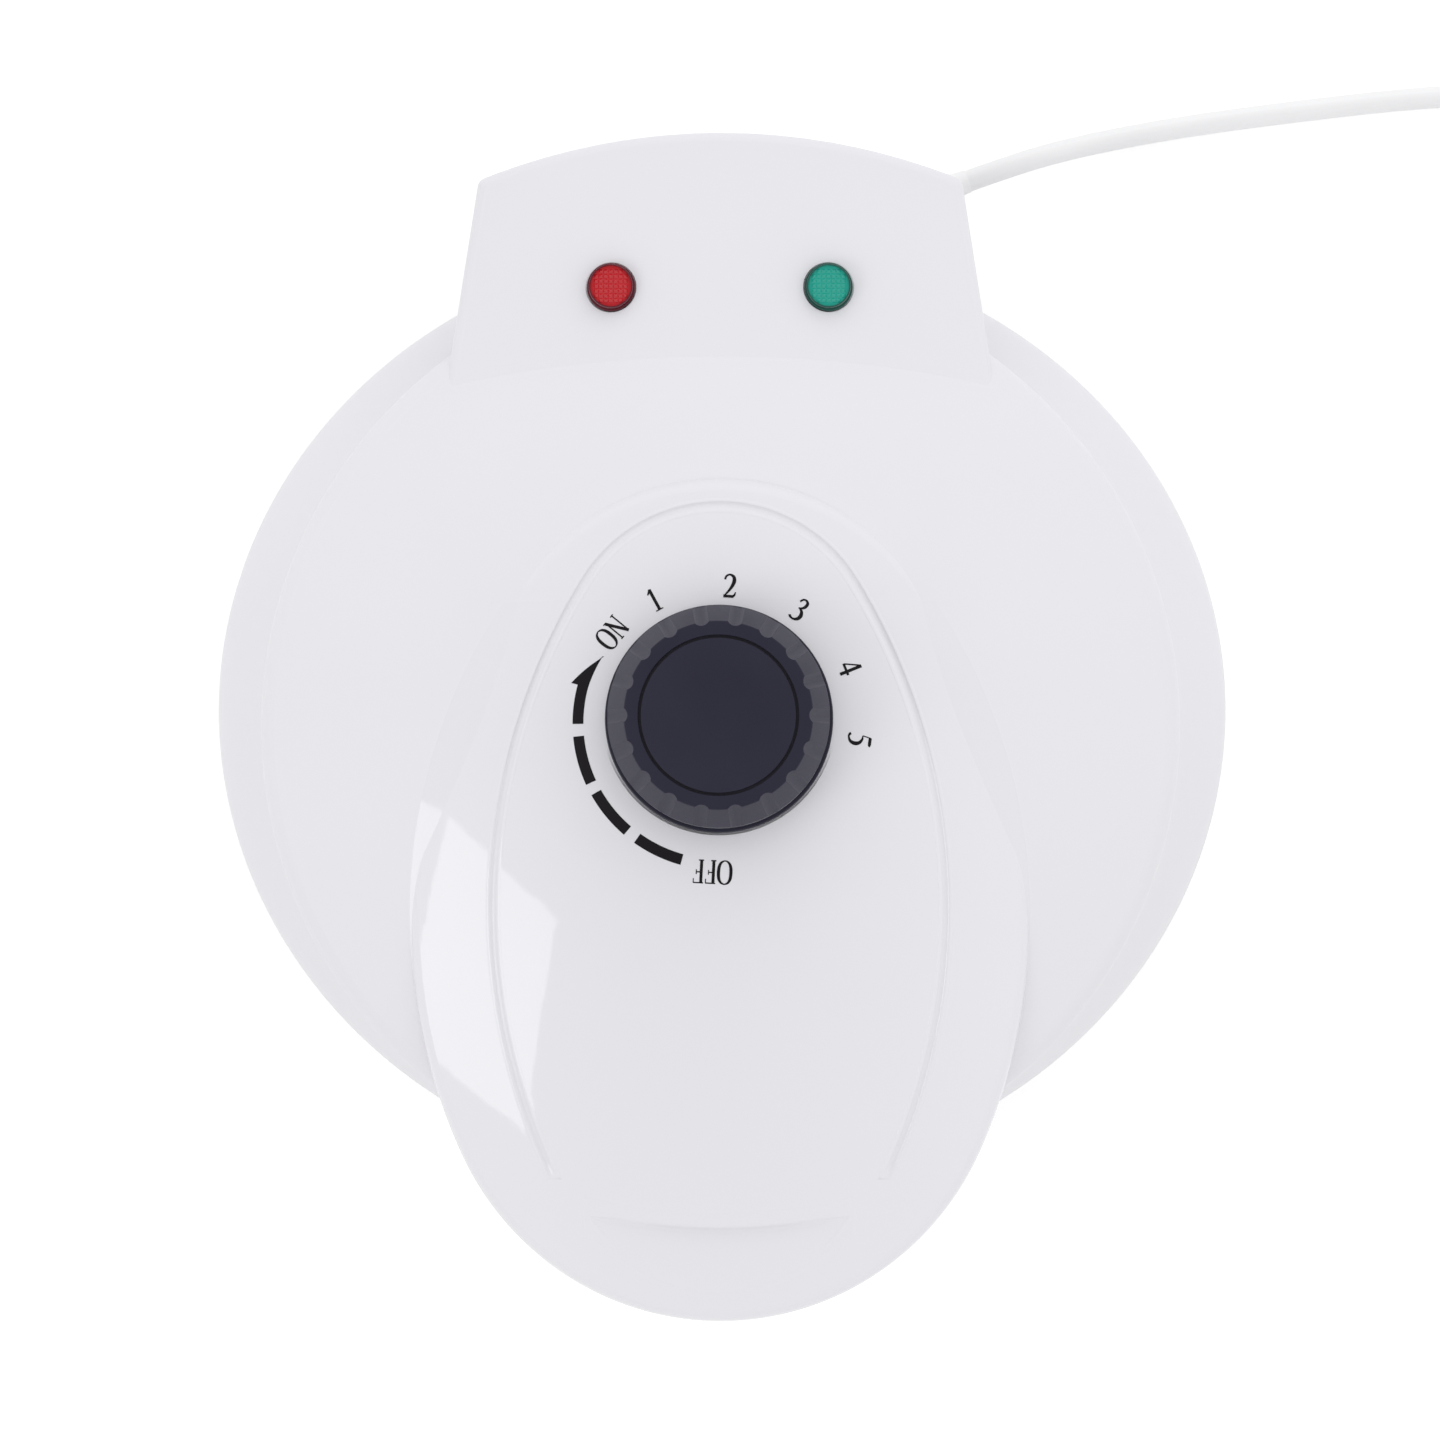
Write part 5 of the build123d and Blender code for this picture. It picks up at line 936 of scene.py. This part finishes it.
class WAFFLE_OT_lid_lines(bpy.types.Operator):
    """Soft hollow of the pressed line and the bulging floor of the thumb rest"""
    bl_idname = "waffle.lid_lines"
    bl_label = "Lid lines"

    def execute(self, context):
        sizes = context.scene.waffle_lid
        self.pressed_line(sizes)
        self.thumb_rest(sizes)
        return {"FINISHED"}

    def skin(self, name, rows, thickness):
        """A closed thin skin under rows of points."""
        width = len(rows[0])
        points = [point for row in rows for point in row]
        points += [(x, y, z - thickness) for x, y, z in points]
        faces = []
        low = len(rows) * width
        for row in range(len(rows) - 1):
            for column in range(width - 1):
                a = row * width + column
                corners = (a, a + 1, a + width + 1, a + width)
                faces.append(corners)
                faces.append(tuple(low + corner for corner in reversed(corners)))
        rim = [*range(width), *range(2 * width - 1, low, width), *range(low - 2, low - width - 1, -1),
               *range(low - 2 * width, 0, -width)]
        faces += [(first, first + low, second + low, second) for first, second in zip(rim, rim[1:] + rim[:1])]
        mesh = bpy.data.meshes.new(name)
        mesh.from_pydata([Vector(point) * MM for point in points], [], faces)
        held = bmesh.new()
        held.from_mesh(mesh)
        bmesh.ops.recalc_face_normals(held, faces=held.faces)
        held.to_mesh(mesh)
        held.free()
        piece(name, dress(mesh, finish_for("shell_plastic"), 40), "lid", "shell_plastic")

    def pressed_line(self, sizes):
        """A ribbon that rounds the line's hollow and fades its ends."""
        half_width, side_radius, widest, rear_radius, end = 52.0, 145.0, -43.5, 36.0, -105.5
        side_steps, rear_steps, plain_run, fade_run, thickness = 90, 30, 1.4, 3.0, 0.5
        centre_x = half_width - side_radius
        rear_y = widest + sqrt((side_radius - rear_radius) ** 2 - centre_x**2)
        join = atan2(rear_y - widest, -centre_x)
        foot = asin((end - widest) / side_radius) - 0.006
        side = [(foot + (join - foot) * step / side_steps, centre_x, widest, side_radius)
                for step in range(side_steps)]
        rear = [(join + (pi / 2 - join) * step / rear_steps, 0, rear_y, rear_radius)
                for step in range(rear_steps + 1)]
        # across the line: offset from its middle, lift over the egg, share of the depth
        shoulder = ((1.9, -0.2, 0), (1.6, 0.03, 0), (1.2, 0.03, 0), (0.95, 0.03, 0.07), (0.75, 0.03, 0.4),
                    (0.5, 0.03, 0.8), (0.25, 0.03, 0.97), (0, 0.03, 1))
        profile = shoulder + tuple((-offset, *rest) for offset, *rest in reversed(shoulder[:-1]))
        deepest = sizes.line_depth / MM
        for way in (1, -1):
            rows = []
            for turned, x, y, radius in side + rear:
                past = (turned - foot) * side_radius if radius == side_radius else side_radius
                fade = min(max((past - plain_run) / fade_run, 0), 1)
                fade = fade**2 * (3 - 2 * fade)
                sink = 0.25 if past == 0 else 0
                row = []
                for offset, lift, share in profile:
                    reach = radius + offset
                    px, py = x + reach * cos(turned), y + reach * sin(turned)
                    row.append((way * px, py, egg_level(px, py) + lift - share * deepest * fade - sink))
                rows.append(row)
            self.skin("pressed_line_right" if way > 0 else "pressed_line_left", rows, thickness)

    def thumb_rest(self, sizes):
        """The rest's floor: a crisp step at its rear that runs out level at its front."""
        span, overhang, foot, column_steps, row_steps = 31.0, 1.5, 1.1, 66, 24
        tuck, thickness = 0.3, 0.4
        drop = sizes.rest_depth / MM
        columns = [-span - overhang + 2 * (span + overhang) * step / column_steps
                   for step in range(column_steps + 1)]
        places = [(x, *self.rest_curves(x)) for x in columns]

        def on(x, y, share, lift=0.02):
            """A point a share of the depth under the egg, tucked in past the rest's sides."""
            depth = drop * max(1 - (x / span) ** 2, 0)
            return x, y, egg_level(x, y) - share * depth + lift - (tuck if abs(x) > span + 1 else 0)

        rows = [[on(x, crease + 3.6, 0, -tuck) for x, crease, front in places]]
        for shift, share in ((3.2, 0), (0.7, 0), (0.4, 0.04), (0.1, 0.2), (-0.2, 0.5), (-0.5, 0.8),
                             (-0.8, 0.96), (-foot, 1.0)):
            rows.append([on(x, crease + shift, share) for x, crease, front in places])
        for along in (step / row_steps for step in range(1, row_steps + 1)):
            rows.append([on(x, crease - foot + (front - crease + foot) * along, (1 - along) ** 2)
                         for x, crease, front in places])
        rows.append([(x, y - 1.0, egg_level(x, y - 1.0) - tuck) for x, y, z in rows[-1]])
        self.skin("thumb_rest", rows, thickness)

    def rest_curves(self, x):
        """The rest's rear crease and front end at a place across the handle."""
        bow = (x / 30) ** 2
        return -116.7 + 3.4 * bow, -131.9 + 13.4 * bow * (1 if abs(x) < 30 else 30 / abs(x))


class WAFFLE_OT_screws(bpy.types.Operator):
    """Cross-recessed screws of the plates, the handle and the base cover"""
    bl_idname = "waffle.screws"
    bl_label = "Screws"

    def execute(self, context):
        tree, given, result = new_tree(
            "Screw set", "GeometryNodeTree",
            [("Geometry", "Geometry"), ("Turn", "Vector", (0.0, 0.0, 0.0)), ("Material", "Material"),
             ("Screw", "Object")],
            [("Geometry", "Geometry")])
        shape = put(tree, "GeometryNodeObjectInfo", {"Object": given["Screw"]}).outputs["Geometry"]
        set_out = put(tree, "GeometryNodeInstanceOnPoints", {
            "Points": given["Geometry"], "Instance": shape, "Rotation": given["Turn"]}).outputs[0]
        solid = put(tree, "GeometryNodeRealizeInstances", {0: set_out}).outputs[0]
        painted = put(tree, "GeometryNodeSetMaterial", {
            "Geometry": solid, "Material": given["Material"]}).outputs[0]
        tree.links.new(painted, result["Geometry"])
        plate, cover, handle = self.ring(86, 126), self.ring(98, 90), [(-30, -120), (30, -120)]
        # node, body, places, level of the heads' seats, upside down, and the sizes of screw_mesh
        for name, body, places, level, over, *shape in (
                ("lower_plate_screws", "base", plate, 43.6, False, 4.0, 2.4, 2.0, 18.0),
                ("upper_plate_screws", "lid", plate, 50.0, True, 4.0, 2.4, 2.0, 13.5),
                ("base_cover_screws", "base", cover, 4.3, True, 3.4, 2.0, 1.7, 11.3),
                ("handle_cover_screws", "lid", handle, 50.8, True, 2.9, 1.8, 1.5, 8.0)):
            self.screw_set(tree, name, body, places, level, over, screw_mesh(*shape))
        return {"FINISHED"}

    def ring(self, radius, first):
        """Five places on a circle, the first at an angle in degrees."""
        turns = [radians(first + 72 * step) for step in range(5)]
        return [(radius * cos(turned), radius * sin(turned)) for turned in turns]

    def screw_set(self, tree, name, body, places, level, over, shape):
        """One node's screws, their heads resting at a level, upside down where over is set."""
        material = finish_for("steel_screws")
        screw = bpy.data.objects.new("screw", shape)
        dots = mesh_from(name, [(x, y, level) for x, y in places], [])
        mesh = grow(name + "_cross", tree, dots, {
            "Turn": (pi if over else 0.0, 0.0, 0.3), "Material": material, "Screw": screw})
        bpy.data.objects.remove(screw)
        piece(name + "_cross", dress(mesh, material), body, "steel_screws", name)


def screw_mesh(radius, height, shank, reach):
    """A pan head screw with a cross recess, its head resting on Z = 0."""
    count, arm, half = 32, radius * 0.55, radius * 0.13
    taper, recess_floor = 0.7, height * 0.25
    profile = rounded([(shank, -reach), (shank, 0), (radius, 0), (radius, height, True),
                       (radius * 0.8, height)], height * 0.35)
    points, faces = lathe([(0, -reach)] + profile, count)
    bm = bmesh.new()
    held = [bm.verts.new(Vector(point) * MM) for point in points]
    # all faces but those that would close the head's top, from its last ring to the first point
    for face in faces:
        if 0 not in face or max(face) < len(points) - count:
            bm.faces.new([held[corner] for corner in face])
    rim = held[-count:]
    cross = []
    for quarter in range(4):
        turn = Matrix.Rotation(quarter * pi / 2, 3, "Z")
        cross += [turn @ Vector(point) for point in ((arm, -half, height), (arm, half, height),
                                                    (half, half, height))]
    top = [bm.verts.new(point * MM) for point in cross]
    floor = [bm.verts.new(Vector((point.x * taper, point.y * taper, recess_floor)) * MM) for point in cross]
    edges = [bm.edges.get(ends) or bm.edges.new(ends)
             for ring in (rim, top) for ends in zip(ring, ring[1:] + ring[:1])]
    bmesh.ops.triangle_fill(bm, edges=edges, use_beauty=True, normal=(0, 0, 1))
    for step in range(len(top)):
        after = (step + 1) % len(top)
        bm.faces.new((top[step], top[after], floor[after], floor[step]))
    bm.faces.new(floor)
    bmesh.ops.recalc_face_normals(bm, faces=bm.faces)
    mesh = bpy.data.meshes.new("screw")
    bm.to_mesh(mesh)
    bm.free()
    return mesh


class WAFFLE_PT_panel(bpy.types.Panel):
    """Lists the waffle maker's pieces"""
    bl_label = "Waffle maker"
    bl_idname = "WAFFLE_PT_panel"
    bl_space_type = "VIEW_3D"
    bl_region_type = "UI"
    bl_category = "Waffle maker"

    def draw(self, context):
        for operator in OPERATORS:
            self.layout.operator(operator.bl_idname)
        for name in GROUPS:
            held = getattr(context.scene, name)
            box = self.layout.box()
            for key in held.__annotations__:
                box.prop(held, key)


OPERATORS = (WAFFLE_OT_stage, WAFFLE_OT_finishes, WAFFLE_OT_cord, WAFFLE_OT_strain_relief, WAFFLE_OT_knob,
             WAFFLE_OT_lamps, WAFFLE_OT_dial_print, WAFFLE_OT_lid_lines, WAFFLE_OT_screws)
GROUPS = {
    "waffle_finishes": WaffleFinishes,
    "waffle_knob": WaffleKnobSizes,
    "waffle_lamps": WaffleLampSizes,
    "waffle_dial": WaffleDialSizes,
    "waffle_lid": WaffleLidSizes,
    "waffle_cord": WaffleCordSizes,
    "waffle_stage": WaffleStageSizes,
}


def register():
    """Registers the classes and the size groups."""
    for made in (*GROUPS.values(), *OPERATORS, WAFFLE_PT_panel):
        bpy.utils.register_class(made)
    for name, group in GROUPS.items():
        setattr(bpy.types.Scene, name, bpy.props.PointerProperty(type=group))


def unregister():
    """Takes the classes and the size groups out again."""
    for name in GROUPS:
        delattr(bpy.types.Scene, name)
    for made in (WAFFLE_PT_panel, *reversed(OPERATORS), *reversed(GROUPS.values())):
        bpy.utils.unregister_class(made)


def main():
    """Makes the scene."""
    register()
    bpy.ops.waffle.stage()
    bpy.ops.waffle.finishes()
    bpy.ops.waffle.cord()
    bpy.ops.waffle.strain_relief()
    bpy.ops.waffle.knob()
    bpy.ops.waffle.lamps()
    bpy.ops.waffle.dial_print()
    bpy.ops.waffle.lid_lines()
    bpy.ops.waffle.screws()


if __name__ == "__main__":
    main()
